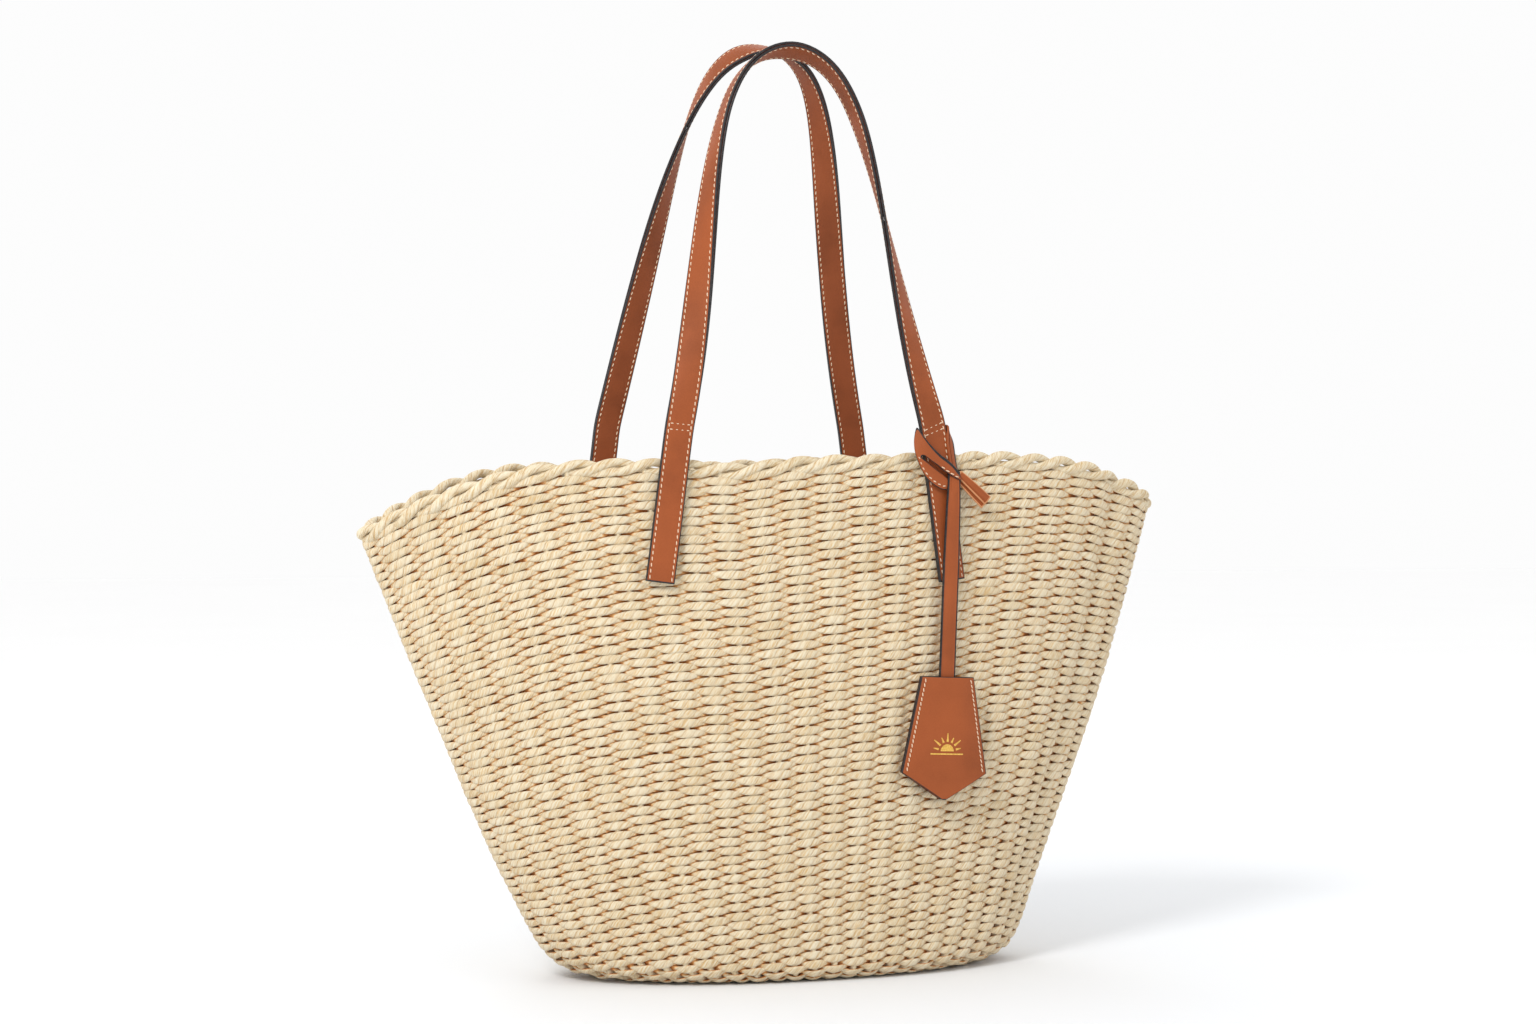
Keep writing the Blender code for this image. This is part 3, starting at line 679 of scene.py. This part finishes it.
def strip_outline(half, thick, dome, recess, lips):
    """A leather strip's outline, from under to over: rounded edges, a slight dome and a sunk stitch line.
    lips says how far the edge paint comes over the face. Returns the points and which sides are paint."""
    def edge(lip):
        return [(half, thick * 0.28), (half, thick * 0.72), (half - 0.0003, thick * 0.96),
                (half - lip, thick)]

    if recess > 0:
        seam = half - STITCH_INSET
        line = [(seam + 0.0004, thick - 0.2 * recess), (seam, thick - recess),
                (seam - 0.0004, thick - 0.2 * recess), (half * 0.45, thick + 0.8 * dome)]
    else:
        face = half - max(lips)
        line = [(face * share, thick + dome * (1 - share**2)) for share in (0.9, 0.75, 0.55, 0.3)]
    right = edge(lips[0]) + line + [(0.0, thick + dome)]
    left = [(-x, z) for x, z in reversed(edge(lips[1]) + line)]
    under = [(-half + 0.0004, 0.0), (-half * 0.4, 0.0), (half * 0.4, 0.0), (half - 0.0004, 0.0)]
    outline = np.array(right + left + under)
    last = len(right) + len(left) - 1
    painted = [int(i < 3 or last - 3 <= i <= last or i == len(outline) - 1) for i in range(len(outline))]
    return outline, painted


def strip(name, centres, widths, outs, width, low, thick, finish, under=False, domed=0.00025, rim=None,
          lips=(EDGE_LIP, EDGE_LIP), bare=False):
    """A leather strip with painted edges and ends along a path. under turns its good side inwards, rim is a
    finish other than the edge paint, bare leaves its second edge unpainted, and width is one number, or one
    for each point of the path."""
    distance = lengths_of(centres)
    places = np.sort(np.concatenate([distance, END_PAINT, distance[-1] - END_PAINT]))
    wide = np.interp(places, distance, np.broadcast_to(np.asarray(width, float), distance.shape))
    centres, widths, outs = (resample(places, distance, v) for v in (centres, widths, outs))
    rings = []
    for i, whole in enumerate(wide):
        outline, painted = strip_outline(whole / 2, thick, domed, SEAM_RECESS, lips)
        if i in (0, len(wide) - 1):
            outline = outline * np.array([1 - 0.0006 / whole, 0.72]) + np.array([0, thick * 0.14])
        rings.append(outline)
    rings = np.array(rings)
    if bare:
        painted = [mark if i < 4 else 0 for i, mark in enumerate(painted)]
    if under:
        rings = rings * np.array([1, -1]) + np.array([0, thick])
    rings = rings + np.array([0, low])
    points = ring_points(centres, unit(widths), unit(outs), rings)
    return tubes(name, points[None], places[None], [finish, rim or EDGE], around_material=painted,
                 sharp=SHARP_ANGLE, painted_ends=(2, 2))


def stitch_line(path, sides, outs, offset, height, slant=0.00022, length=STITCH_LENGTH, pitch=STITCH_PITCH):
    """Starts, ends and outward directions of stitches along a path, offset sideways and out."""
    line = path + sides * offset + outs * height
    distance = lengths_of(line)
    count = max(1, int((distance[-1] - length) / pitch) + 1)
    first = (distance[-1] - (count - 1) * pitch - length) / 2 + np.arange(count) * pitch
    first = first + random.uniform(-0.00012, 0.00012, count)
    across = resample(first, distance, sides)
    starts = resample(first, distance, line) - across * slant
    ends = resample(first + length, distance, line) + across * slant
    return starts, ends, unit(resample(first + length / 2, distance, outs))


def stitches(name, lines):
    """Small thread arcs along lines of stitches, each rising out of the leather and dipping back in."""
    starts, ends, outs = (np.concatenate([line[k] for line in lines])[:, None] for k in range(3))
    t = np.linspace(0, 1, 7)[None, :, None]
    arch = STITCH_LIFT * (1 - np.abs(2 * t - 1) ** 2.6) - STITCH_DIP
    centre = starts * (1 - t) + ends * t + outs * arch
    out = np.broadcast_to(outs, centre.shape)
    side = unit(np.cross(np.broadcast_to(unit(ends - starts), centre.shape), out))
    size = STITCH_RADIUS * np.sqrt(np.maximum(0.12, 1 - np.abs(2 * t - 1) ** 4))
    points = ring_points(centre, side, out, oval(6, 1, 0.9)[None, None] * size[..., None])
    distance = lengths_of(centre) + np.arange(len(starts))[:, None] * 0.031
    return tubes(name, points, distance, [THREAD])


# ---------------------------------------------------------------- where the leather lies

def wall_depth_at(x, z):
    level = min(1.0, z / RIM_HEIGHT_MIDDLE)
    for _ in range(4):
        upright_z = z - LEAN * x * level
        across = (x + LEAN * upright_z) / half_length(min(1.0, level))
        level = min(1.0, upright_z / float(rim_height(across)))
    return float(depth_share(np.float64(across), level) * half_depth(level))


def tab_frames(side, face, heights):
    """Centre, width direction and outward direction up a tab, on the tab's back face."""
    centres, widths, outs = [], [], []
    for z in heights:
        share = (z - TAB_BOTTOM_HEIGHT) / (TAB_TOP_HEIGHT - TAB_BOTTOM_HEIGHT)
        x = HANDLE_CENTRE_X + side * (SEAM_HALF_SPACING[face] + TAB_SPREAD * (1 - share))
        probe = min(z, RIM_HEIGHT_MIDDLE - 0.004)
        left = wall_depth_at(x - STRAP_WIDTH / 2, probe)
        right = wall_depth_at(x + STRAP_WIDTH / 2, probe)
        y = face * (max((left + right) / 2, wall_depth_at(x, probe)) + TAB_STAND_OFF)
        width_way = Vector((STRAP_WIDTH, face * (right - left), 0)).normalized()
        rise = Vector((-side * TAB_SPREAD, 0, TAB_TOP_HEIGHT - TAB_BOTTOM_HEIGHT)).normalized()
        out_way = width_way.cross(rise).normalized()
        if out_way.y * face < 0:
            out_way = -out_way
        centres.append((x, y, z))
        widths.append(rise.cross(out_way).normalized())
        outs.append(out_way)
    return np.array(centres), np.array(widths), np.array(outs)


def bezier(points, t):
    a, b, c, d = (np.array(p) for p in points)
    s = 1 - t
    return a * s**3 + b * 3 * s * s * t + c * 3 * s * t * t + d * t**3


def strap_turn(face, distance):
    """How far a handle has turned about its own line, from flat against the wall at its seams to a little
    over a quarter turn at the top. The back handle turns later, and highest left of its middle."""
    length = distance[-1]
    if face < 0:
        from_seam = np.minimum(distance, length - distance)
        untwisted = np.maximum(0.0, 1 - from_seam / FRONT_TWIST_LENGTH) ** FRONT_TWIST_POWER
        last = (2 * from_seam / length) ** FRONT_LAST_TURN_POWER
        return math.pi / 2 - (math.pi / 2 - SEAM_TWIST) * untwisted + (FRONT_APEX_TURN - math.pi / 2) * last
    top = length / 2 - BACK_TURN_SHIFT
    share = np.where(distance < top, distance / top, (length - distance) / (length - top))
    return SEAM_TWIST + (BACK_APEX_TURN - SEAM_TWIST) * share**BACK_TWIST_POWER


def handle_frames(face):
    """Centre between the two layers, width and outward directions along a handle from seam to seam."""
    apex, flank = APEX_HEIGHT[face], FLANK[face]
    seam_centre, _, seam_out = tab_frames(1, face, [TAB_TOP_HEIGHT])
    middle = seam_centre[0] + seam_out[0] * (LEATHER + LAYER_SPACE)
    corners = [(SEAM_HALF_SPACING[face], 0, STRAP_START_HEIGHT), (flank[0], 0, flank[1]),
               (SHOULDER[face], 0, apex), (0, 0, apex)]
    half = np.array([bezier(corners, t) for t in np.linspace(0, 1, 401)])
    arch = np.concatenate([half * np.array([-1, 1, 1]), half[:-1][::-1]])
    rise = (arch[:, 2] - STRAP_START_HEIGHT) / (apex - STRAP_START_HEIGHT)
    x = HANDLE_CENTRE_X + arch[:, 0] + SIDEWAYS[face] * np.sin(math.pi / 2 * rise)
    placed = np.stack([x, middle[1] + TIP[face] * rise**2, arch[:, 2]], -1)
    distance = lengths_of(placed)
    even = np.linspace(0, distance[-1], 132)
    path = resample(even, distance, placed)
    along = unit(np.gradient(path, axis=0))
    outward = square_to(np.array([0, face, 0.0]), along)
    over = np.cross(along, outward) * face
    angle = strap_turn(face, even)[:, None]
    normal = unit(outward * np.cos(angle) + over * np.sin(angle))
    return path, unit(np.cross(normal, along)), normal


def whole_strap(face):
    """Centre, width and outward directions of a strap from one tab's bottom over the arch to the other's."""
    path, widths, outs = handle_frames(face)
    heights = np.linspace(TAB_BOTTOM_HEIGHT, TAB_LINE_TOP, 26)
    pieces = []
    for side in (-1, 1):
        centres, tab_widths, tab_outs = tab_frames(side, face, heights)
        centres = centres + tab_outs * (LEATHER + LAYER_SPACE)
        if side > 0:
            centres, tab_widths, tab_outs = centres[::-1], tab_widths[::-1], tab_outs[::-1]
        sign = np.sign((tab_widths[0 if side > 0 else -1] * widths[-1 if side > 0 else 0]).sum())
        pieces.append((centres, tab_widths * sign, tab_outs))
    line = np.concatenate([pieces[0][0], path, pieces[1][0]])
    across = np.concatenate([pieces[0][1], widths, pieces[1][1]])
    normal = np.concatenate([pieces[0][2], outs, pieces[1][2]])
    distance = lengths_of(line)
    even = np.linspace(0, distance[-1], 200)
    line, across, normal = (resample(even, distance, v) for v in (line, across, normal))
    kernel = np.array([1, 4, 6, 4, 1]) / 16.0
    for values in (line, across, normal):
        for _ in range(2):
            padded = np.concatenate([values[:1]] * 2 + [values] + [values[-1:]] * 2)
            smooth = np.stack([np.convolve(padded[:, k], kernel, "valid") for k in range(3)], -1)
            values[2:-2] = smooth[2:-2]
    along = unit(np.gradient(line, axis=0))
    normal = square_to(normal, along)
    flat = unit(np.cross(normal, along))
    flat = flat * np.sign((flat * across).sum(-1, keepdims=True))
    return line, flat, normal


def seam_stitches(line, across, normal, height):
    """Two short rows across the strap at each seam, with small slanting stitches between them."""
    rows = []
    for end in (0, 1):
        order = slice(None, None, -1) if end else slice(None)
        z = line[order][:, 2]
        for level in SEAM_ROWS:
            i = int(np.argmax(z > level))
            centre, side, out = line[order][i], across[order][i], normal[order][i]
            spots = np.linspace(-STITCH_OFFSET, STITCH_OFFSET, 5)
            tilt = np.array([0, 0, SEAM_TILT[end] * -np.sign(side[0])])
            starts, ends = (np.array([centre + side * (a + gap) + out * height - tilt * a / STITCH_OFFSET
                                      for a in places])
                            for places, gap in ((spots[:-1], 0.0004), (spots[1:], -0.0004)))
            rows.append((starts, ends, np.repeat(out[None], len(starts), 0)))
    return rows


def handle(face, name):
    """One strap of two layers, with its tabs, and the stitches that hold the layers together."""
    line, across, normal = whole_strap(face)
    body = name + "_handle"
    outer = strip(name + "_strap_outer", line, across, normal, STRAP_WIDTH, LAYER_SPACE / 2, LEATHER, TAN)
    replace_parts(outer, body + "_outer_strap", name + "_left_tab", name + "_right_tab")
    inner = strip(name + "_strap_inner", line, across, normal, STRAP_WIDTH, -LAYER_SPACE / 2 - LEATHER,
                  LEATHER, LINING, under=True)
    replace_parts(inner, body + "_lining")
    top = LAYER_SPACE / 2 + LEATHER - SEAM_RECESS
    rows = [stitch_line(line, across, out, offset, top)
            for out in (normal, -normal) for offset in (STITCH_OFFSET, -STITCH_OFFSET)]
    rows += seam_stitches(line, across, normal, top)
    thread = stitches(name + "_strap_stitches", rows)
    for piece in (outer, inner, thread):
        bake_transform(piece)


def backing(name, side, face):
    """The stitched leather patch inside the wall behind a tab."""
    heights = np.linspace(TAB_BOTTOM_HEIGHT, TAB_BOTTOM_HEIGHT + BACKING_HEIGHT, 14)
    centres, widths, outs = tab_frames(side, face, heights)
    centres = centres - outs * BACKING_INSET
    patch = strip(name, centres, widths, -outs, STRAP_WIDTH, 0, 0.0014, LINING)
    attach(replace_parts(patch, name), "bag")
    rows = [stitch_line(centres, widths, -outs, offset, 0.0013) for offset in (STITCH_OFFSET, -STITCH_OFFSET)]
    thread = stitches(name + "_stitches", rows)
    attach(thread, "bag")


# ---------------------------------------------------------------- knot

def leg_frame(z):
    """Middle, width and outward directions of the front right handle leg at a height."""
    centres, widths, outs = tab_frames(1, -1, [z])
    return centres[0] + outs[0] * (LEATHER + LAYER_SPACE), widths[0], outs[0]


def smooth_path(controls, count):
    """A cubic curve through control rows, at even steps."""
    rows = np.array(controls, float)
    rows = np.concatenate([2 * rows[:1] - rows[1:2], rows, 2 * rows[-1:] - rows[-2:-1]])
    spans = len(rows) - 3
    places = np.arange(count) / (count - 1) * spans
    first = np.minimum(places.astype(int), spans - 1)
    t = (places - first)[:, None]
    p0, p1, p2, p3 = (rows[first + k] for k in range(4))
    return 0.5 * (2 * p1 + (p2 - p0) * t + (2 * p0 - 5 * p1 + 4 * p2 - p3) * t**2
                  + (3 * p1 - p0 - 3 * p2 + p3) * t**3)


def leg_place(across, height, out):
    """A place by its distance across the leg, height and distance out from the leg's middle, in
    millimetres."""
    middle, width_way, out_way = leg_frame(height / 1000)
    return middle + width_way * across / 1000 + out_way * out / 1000


def leg_facing(height, turn):
    """A direction in the leg's frame: 0 degrees is out of the bag's front and 90 is to the right."""
    _, width_way, out_way = leg_frame(height / 1000)
    return out_way * math.cos(math.radians(turn)) + width_way * math.sin(math.radians(turn))


def leg_band(controls, count):
    """Centres, edge and facing directions and widths of a band round the leg. Each control row is across the
    leg, height, out from its middle and width in millimetres, and the way it faces in degrees."""
    rows = smooth_path(controls, count)
    centres = np.array([leg_place(*row[:3]) for row in rows])
    facings = np.array([leg_facing(row[1], row[4]) for row in rows])
    run = unit(np.gradient(centres, axis=0))
    facings = square_to(facings, run)
    return centres, unit(np.cross(facings, run)), facings, rows[:, 3] / 1000


def knot_front():
    """The knot's face: one band that comes from under the hanging strap, turns at the left and runs back
    over it, with a slit between its two arms. Each row holds a rib's outer and inner end, both across the
    leg, height and out from its middle in millimetres, and the way it faces in degrees."""
    ribs = smooth_path([
        (8.0, 320.6, 4.4, 8.0, 325.4, 4.6, 4), (3.0, 320.3, 4.9, 4.2, 327.2, 5.2, 0),
        (-1.2, 320.9, 5.1, -0.2, 330.8, 5.7, -4), (-6.0, 323.8, 5.3, -3.9, 334.0, 5.9, -9),
        (-10.1, 327.9, 5.2, -8.2, 338.0, 6.1, -16), (-13.2, 333.2, 4.8, -11.2, 340.9, 6.1, -26),
        (-15.2, 339.4, 4.2, -12.8, 342.6, 6.0, -40), (-16.2, 344.8, 3.4, -13.4, 343.6, 5.9, -50),
        (-16.2, 350.6, 2.6, -13.0, 344.4, 5.9, -52), (-15.0, 357.0, 2.0, -12.2, 344.5, 6.2, -46),
        (-12.7, 362.8, 2.6, -11.0, 344.0, 6.5, -36), (-10.4, 357.6, 5.2, -9.6, 342.6, 6.8, -26),
        (-6.7, 350.9, 7.0, -7.2, 340.2, 7.0, -16), (-1.3, 344.1, 8.0, -3.4, 336.8, 7.4, -8),
        (3.6, 339.6, 8.6, 0.2, 333.0, 7.8, -2), (7.8, 335.1, 8.8, 4.6, 329.4, 8.2, 4),
        (10.6, 330.5, 8.5, 8.0, 327.0, 8.3, 12), (12.2, 326.0, 7.6, 11.2, 325.2, 7.6, 18),
    ], 118)
    outer = np.array([leg_place(*rib[:3]) for rib in ribs])
    inner = np.array([leg_place(*rib[3:6]) for rib in ribs])
    edges = unit(outer - inner)
    facings = square_to(np.array([leg_facing(rib[1], rib[6]) for rib in ribs]), edges)
    centres = (outer + inner) / 2
    widths = np.linalg.norm(outer - inner, axis=-1)
    places = np.arange(len(ribs)) / (len(ribs) - 1)
    outer_lips = np.interp(places, [0, 0.52, 0.62, 0.92, 1], [0.5, 0.5, 2.0, 1.9, 0.3]) / 1000
    rings = []
    for whole, lip in zip(widths, outer_lips):
        lips = (min(lip, whole * 0.35), min(0.0005, whole * 0.3))
        outline, painted = strip_outline(whole / 2, BAND_THICKNESS, 0.0005, 0.0, lips)
        rings.append(outline - np.array([0, BAND_THICKNESS / 2]))
    points = ring_points(centres, edges, facings, np.array(rings))
    mesh = tubes("knot_front_band", points[None], lengths_of(centres)[None], [TAN, EDGE],
                 around_material=painted, sharp=SHARP_ANGLE, painted_ends=(0, 1))
    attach(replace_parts(mesh, "knot_wrap"), "bag")
    top = BAND_THICKNESS / 2 + 0.0002
    rows = [stitch_line((rim + edges * offset)[part], edges[part], facings[part], 0, top)
            for rim, offset, part in ((outer, -0.0023, slice(8, 52)), (inner, 0.0012, slice(92, 115)))]
    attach(stitches("knot_stitches", rows), "bag")


def knot():
    """The knot's face, the band that runs on from it behind the leg and down its right side, and the
    strap's short doubled end."""
    knot_front()
    behind = [
        (-12.3, 352.0, 1.6, 8.6, 275), (-12.2, 353.2, -1.2, 8.6, 262), (-9.0, 354.6, -3.7, 8.6, 215),
        (-2.0, 356.0, -4.0, 8.6, 184), (5.0, 357.4, -4.0, 8.4, 172), (10.0, 358.2, -2.8, 8.0, 132),
        (11.3, 357.2, -1.0, 7.8, 66), (11.0, 350.5, 0.5, 7.8, 34), (11.0, 342.0, 0.9, 7.6, 30),
        (11.1, 334.0, 1.7, 7.2, 31), (12.0, 328.5, 3.4, 5.8, 36), (13.2, 324.6, 4.6, 5.0, 36),
    ]
    centres, edges, facings, widths = leg_band(behind, 84)
    loop = strip("knot_loop_band", centres, edges, facings, widths, -BAND_THICKNESS / 2, BAND_THICKNESS, TAN,
                 lips=(0.0017, EDGE_LIP), bare=True)
    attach(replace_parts(loop, "knot_loop"), "bag")

    upper_rows = [(12.4, 329.6, 5.3, 5.2, 6), (17.6, 323.9, 5.9, 6.0, 3), (24.2, 316.6, 6.4, 6.6, 0),
                  (30.8, 309.4, 6.2, 6.9, -3)]
    under_rows = [(12.2, 326.8, 3.5, 5.0, 8), (16.6, 321.6, 4.1, 5.8, 5), (22.6, 314.4, 4.6, 6.4, 2),
                  (28.9, 307.2, 4.5, 6.8, 0)]
    pieces = []
    for name, rows in (("knot_tail_upper", upper_rows), ("knot_tail_under", under_rows)):
        centres, edges, facings, widths = leg_band(rows, 26)
        pieces.append(strip(name, centres, edges, facings, widths, -TAIL_LEATHER / 2, TAIL_LEATHER, TAN,
                            domed=0.0003, rim=RAW))
        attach(pieces[-1], "bag")
    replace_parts(pieces[0], "knot_tail")


# ---------------------------------------------------------------- tag

def tag_half_width(depth):
    if depth <= TAG_SIDE_HEIGHT:
        return TAG_TOP_HALF_WIDTH + (TAG_BOTTOM_HALF_WIDTH - TAG_TOP_HALF_WIDTH) * depth / TAG_SIDE_HEIGHT
    share = (depth - TAG_SIDE_HEIGHT) / TAG_POINT_DEPTH
    return TAG_BOTTOM_HALF_WIDTH + (0.0012 - TAG_BOTTOM_HALF_WIDTH) * share


def tag_swell(x, depth):
    """How far the inside of a sleeve panel stands from the middle of the sleeve."""
    full = tag_half_width(min(depth, TAG_SIDE_HEIGHT))
    falling = max(0.0, depth - SWELL_FALL_START) / (TAG_SIDE_HEIGHT + TAG_POINT_DEPTH - SWELL_FALL_START)
    swell = TAG_SWELL * (1 - SWELL_FALL * falling)
    return LAYER_SPACE + swell * max(0.0, 1 - min(1.0, abs(x) / full) ** 2.2)


def hung(across, z, out=0.0):
    """A place of the strap or the tag, which hang in one plane, a little aslant from their hinge. z is its
    height before the slant, and out is how far in front of the plane it is."""
    drop = TAG_HINGE_HEIGHT - z
    x = TAG_HINGE_X + across * math.cos(TAG_SLANT) - drop * math.sin(TAG_SLANT)
    height = TAG_HINGE_HEIGHT - drop * math.cos(TAG_SLANT) - across * math.sin(TAG_SLANT)
    return (x, TAG_PLANE - out, height)


def tag_panel(name, face):
    """One side of the sleeve, pillowed round the strap, with painted edges."""
    whole = TAG_SIDE_HEIGHT + TAG_POINT_DEPTH
    depths = sorted(set([0, 0.0004, 0.0011] + list(np.linspace(0.002, TAG_SIDE_HEIGHT, 44))
                        + list(np.linspace(TAG_SIDE_HEIGHT, whole, 24))))
    spread = np.linspace(-1, 1, 25)
    spread = np.sign(spread) * (1 - (1 - np.abs(spread)) ** 1.15)
    rings = []
    for depth in depths:
        half = tag_half_width(depth)
        thick = TAG_LEATHER * (0.72 if depth == 0 else 1.0)
        lip = min(0.0007, half * 0.4)
        shown = [(-half, 0.32), (-half, 0.70), (-half + lip * 0.45, 0.96)]
        shown += [(s * (half - lip), 1.0) for s in spread]
        shown += [(half - lip * 0.45, 0.96), (half, 0.70), (half, 0.32)]
        hidden = [(s * (half - lip * 0.5), 0.0) for s in spread[::-1]]
        rings.append([hung(x, TAG_TOP_HEIGHT - depth, face * (tag_swell(x, depth) + thick * share))
                      for x, share in shown + hidden])
    count = len(rings[0])
    painted = np.zeros(count, int)
    painted[:3] = 1
    painted[len(spread) + 2:len(spread) + 6] = 1
    painted[-1] = 1
    return tubes(name, np.array(rings)[None], np.array(depths)[None], [TAN, EDGE], around_material=painted,
                 sharp=SHARP_ANGLE, painted_ends=(1, 1))


def tag_stitches(name, face):
    """A close line of slanting stitches along each long side."""
    lines = []
    depths = np.linspace(0.0012, TAG_SIDE_HEIGHT - 0.0006, 60)
    for side in (-1, 1):
        path = []
        for depth in depths:
            x = side * (tag_half_width(depth) - 0.0030)
            path.append(hung(x, TAG_TOP_HEIGHT - depth, face * (tag_swell(x, depth) + TAG_LEATHER)))
        sides = np.tile([1.0, 0, 0], (len(path), 1))
        outs = np.tile(unit(np.array([side * 0.25, -face, 0.0])), (len(path), 1))
        lines.append(stitch_line(np.array(path), sides, outs, 0, -0.00005, slant=0.00042, length=0.0031,
                                 pitch=0.0031))
    return stitches(name, lines)


def sun_mark():
    """A small rising sun in gold foil: a long line, a half disc over it and rays. It is plain decoration."""
    arc = [(0.0046 * math.cos(a), 0.0046 * math.sin(a)) for a in np.linspace(0, math.pi, 25)]
    shapes = [arc + [(x, 0.0) for x in np.linspace(-0.0035, 0.0035, 8)]]
    line = np.linspace(-0.0115, 0.0115, 13)
    shapes += [[(a, -0.0023), (b, -0.0023), (b, -0.0014), (a, -0.0014)] for a, b in zip(line[:-1], line[1:])]
    for k in range(7):
        angle = math.radians(12 + 26 * k)
        reach = 0.0118 if k % 2 else 0.0098
        direction = np.array([math.cos(angle), math.sin(angle)])
        side = np.array([-direction[1], direction[0]])
        steps = np.linspace(0.0062, reach, 4)
        narrowing = np.linspace(0.00075, 0.00028, 4)
        shapes.append([tuple(direction * r - side * w) for r, w in zip(steps, narrowing)]
                      + [tuple(direction * r + side * w) for r, w in zip(steps[::-1], narrowing[::-1])])
    points, faces = [], []
    for shape in shapes:
        start, size = len(points), len(shape)
        for lift in (-0.0002, 0.00012):
            for x, y in shape:
                depth = SUN_DEPTH - y
                points.append(hung(x, TAG_TOP_HEIGHT - depth, tag_swell(x, depth) + TAG_LEATHER + lift))
        faces.append([start + size + i for i in range(size)])
        faces.append([start + i for i in reversed(range(size))])
        for i in range(size):
            after = start + (i + 1) % size
            faces.append([start + i, after, after + size, start + size + i])
    made = plain_object("tag_sun_mark", points, faces, FOIL)
    made.data.uv_layers.new(name="cord")
    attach(made, "tag_sleeve")


def hanging_strip(name, top, bottom, width, thick, finish, dip=0.0, domed=0.0002):
    """A hanging strip that faces the front, whose top curves back by dip to go under the knot."""
    heights = np.linspace(top, bottom, 90)
    tuck = dip * np.clip(1 - (top - heights) / 0.014, 0, 1) ** 1.5
    centres = np.array([hung(0, z, -back) for z, back in zip(heights, tuck)])
    widths = np.tile([math.cos(TAG_SLANT), 0, -math.sin(TAG_SLANT)], (len(centres), 1))
    outs = unit(np.cross(unit(np.gradient(centres, axis=0)), widths))
    outs = outs * np.sign(-outs[:, 1:2])
    wide = np.interp(-heights, [-heights[0], -0.310, -0.275], [width * 0.74, width * 0.90, width])
    return strip(name, centres, widths, outs, wide, -thick / 2, thick, finish, domed=domed,
                 lips=(0.0011, 0.0011))


def tag():
    hanger = hanging_strip("tag_strap_band", TAG_STRAP_TOP + 0.0075, TAG_STRAP_BOTTOM, TAG_STRAP_WIDTH,
                           BAND_THICKNESS, TAN, dip=0.0012)
    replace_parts(hanger, "tag_strap")
    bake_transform(hanger)
    end = hanging_strip("tag_strap_doubled_end", TAG_STRAP_BOTTOM - 0.0004, TAG_STRAP_BOTTOM - 0.0264,
                        0.015, 0.0028, LINING, domed=0.0)
    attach(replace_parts(end, "tag_strap_end"), "tag_hanger")
    for face, name in ((1, "tag_front"), (-1, "tag_back")):
        panel = tag_panel(name + "_leather", face)
        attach(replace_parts(panel, name + "_panel"), "tag_sleeve")
        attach(tag_stitches(name + "_stitches", face), "tag_sleeve")
    sun_mark()


# ---------------------------------------------------------------- the build

bands = woven_bands()
for band in bands:
    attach(band, "bag")
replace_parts(bands[0], "woven_wall")
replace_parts(bands[-1], "base_mat")
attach(stake_cords(), "bag")
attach(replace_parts(border_strands(), "rim_border"), "bag")

for face_side, face_name in ((-1, "front"), (1, "back")):
    handle(face_side, face_name)
    for end_side, end_name in ((-1, "left"), (1, "right")):
        backing(f"{face_name}_{end_name}_backing", end_side, face_side)
knot()
tag()


# ---------------------------------------------------------------- floor, light and camera

def stage():
    """A pale paper floor, a little bluer and darker close to the bag than far from it: painted shade round
    the bag.
    """
    painted_shade_by_bag, half_size = (0.815, 0.832, 0.855), 12.0
    made, tree, shader = new_material("floor", painted_shade_by_bag, 0.8, 0.1)
    place = object_place(tree)
    from_bag = node(tree, "ShaderNodeVectorMath", operation="LENGTH")
    tree.links.new(place, from_bag.inputs[0])
    share = times(tree, from_bag.outputs["Value"], 2 / half_size)
    # Painted shade: darker and bluer close to the bag, white far off.
    paper = ramp(tree, share, (0.06, painted_shade_by_bag), (0.24, (0.925, 0.932, 0.938)), (0.6, WHITE))
    cloud = ramp(tree, noise(tree, place, 2.0), (0.3, (0.992,) * 3), (0.7, WHITE))
    tree.links.new(tinted(tree, paper, cloud), shader.inputs["Base Color"])
    corners = [(x * half_size, y * half_size, 0) for x, y in ((-1, -1), (1, -1), (1, 1), (-1, 1))]
    plain_object("floor", corners, [(0, 1, 2, 3)], made)


def area_light(name, place, target, size, power):
    data = bpy.data.lights.new(name, "AREA")
    data.shape = "DISK"
    data.size = size
    data.energy = power
    lamp = added(name, data)
    lamp.location = place
    lamp.rotation_euler = (Vector(target) - Vector(place)).to_track_quat("-Z", "Y").to_euler()


def studio():
    world = bpy.data.worlds.new("studio")
    world.use_nodes = True
    light = world.node_tree.nodes["Background"].inputs
    light["Color"].default_value = (1, 1, 1, 1)
    light["Strength"].default_value = 0.98
    bpy.context.scene.world = world
    area_light("key", (-1.9, -1.9, 2.3), (0, 0, 0.25), 0.9, 54)
    area_light("back", (0.4, 2.2, 2.2), (0, 0, 0.3), 1.6, 8)


def camera():
    """Level, at two metres, turned a little to the bag's left."""
    turn = math.radians(19.4)
    distance, aside, height = 2.0, 0.014, 0.306
    data = bpy.data.cameras.new("camera")
    data.sensor_width = 36
    data.lens = 69.6
    made = added("camera", data)
    made.location = (-distance * math.sin(turn) - aside * math.cos(turn),
                     -distance * math.cos(turn) + aside * math.sin(turn), height)
    made.rotation_euler = (math.pi / 2, 0, -turn)
    bpy.context.scene.camera = made


stage()
studio()
camera()
bpy.context.scene.view_settings.view_transform = "Standard"

bpy.context.view_layer.update()
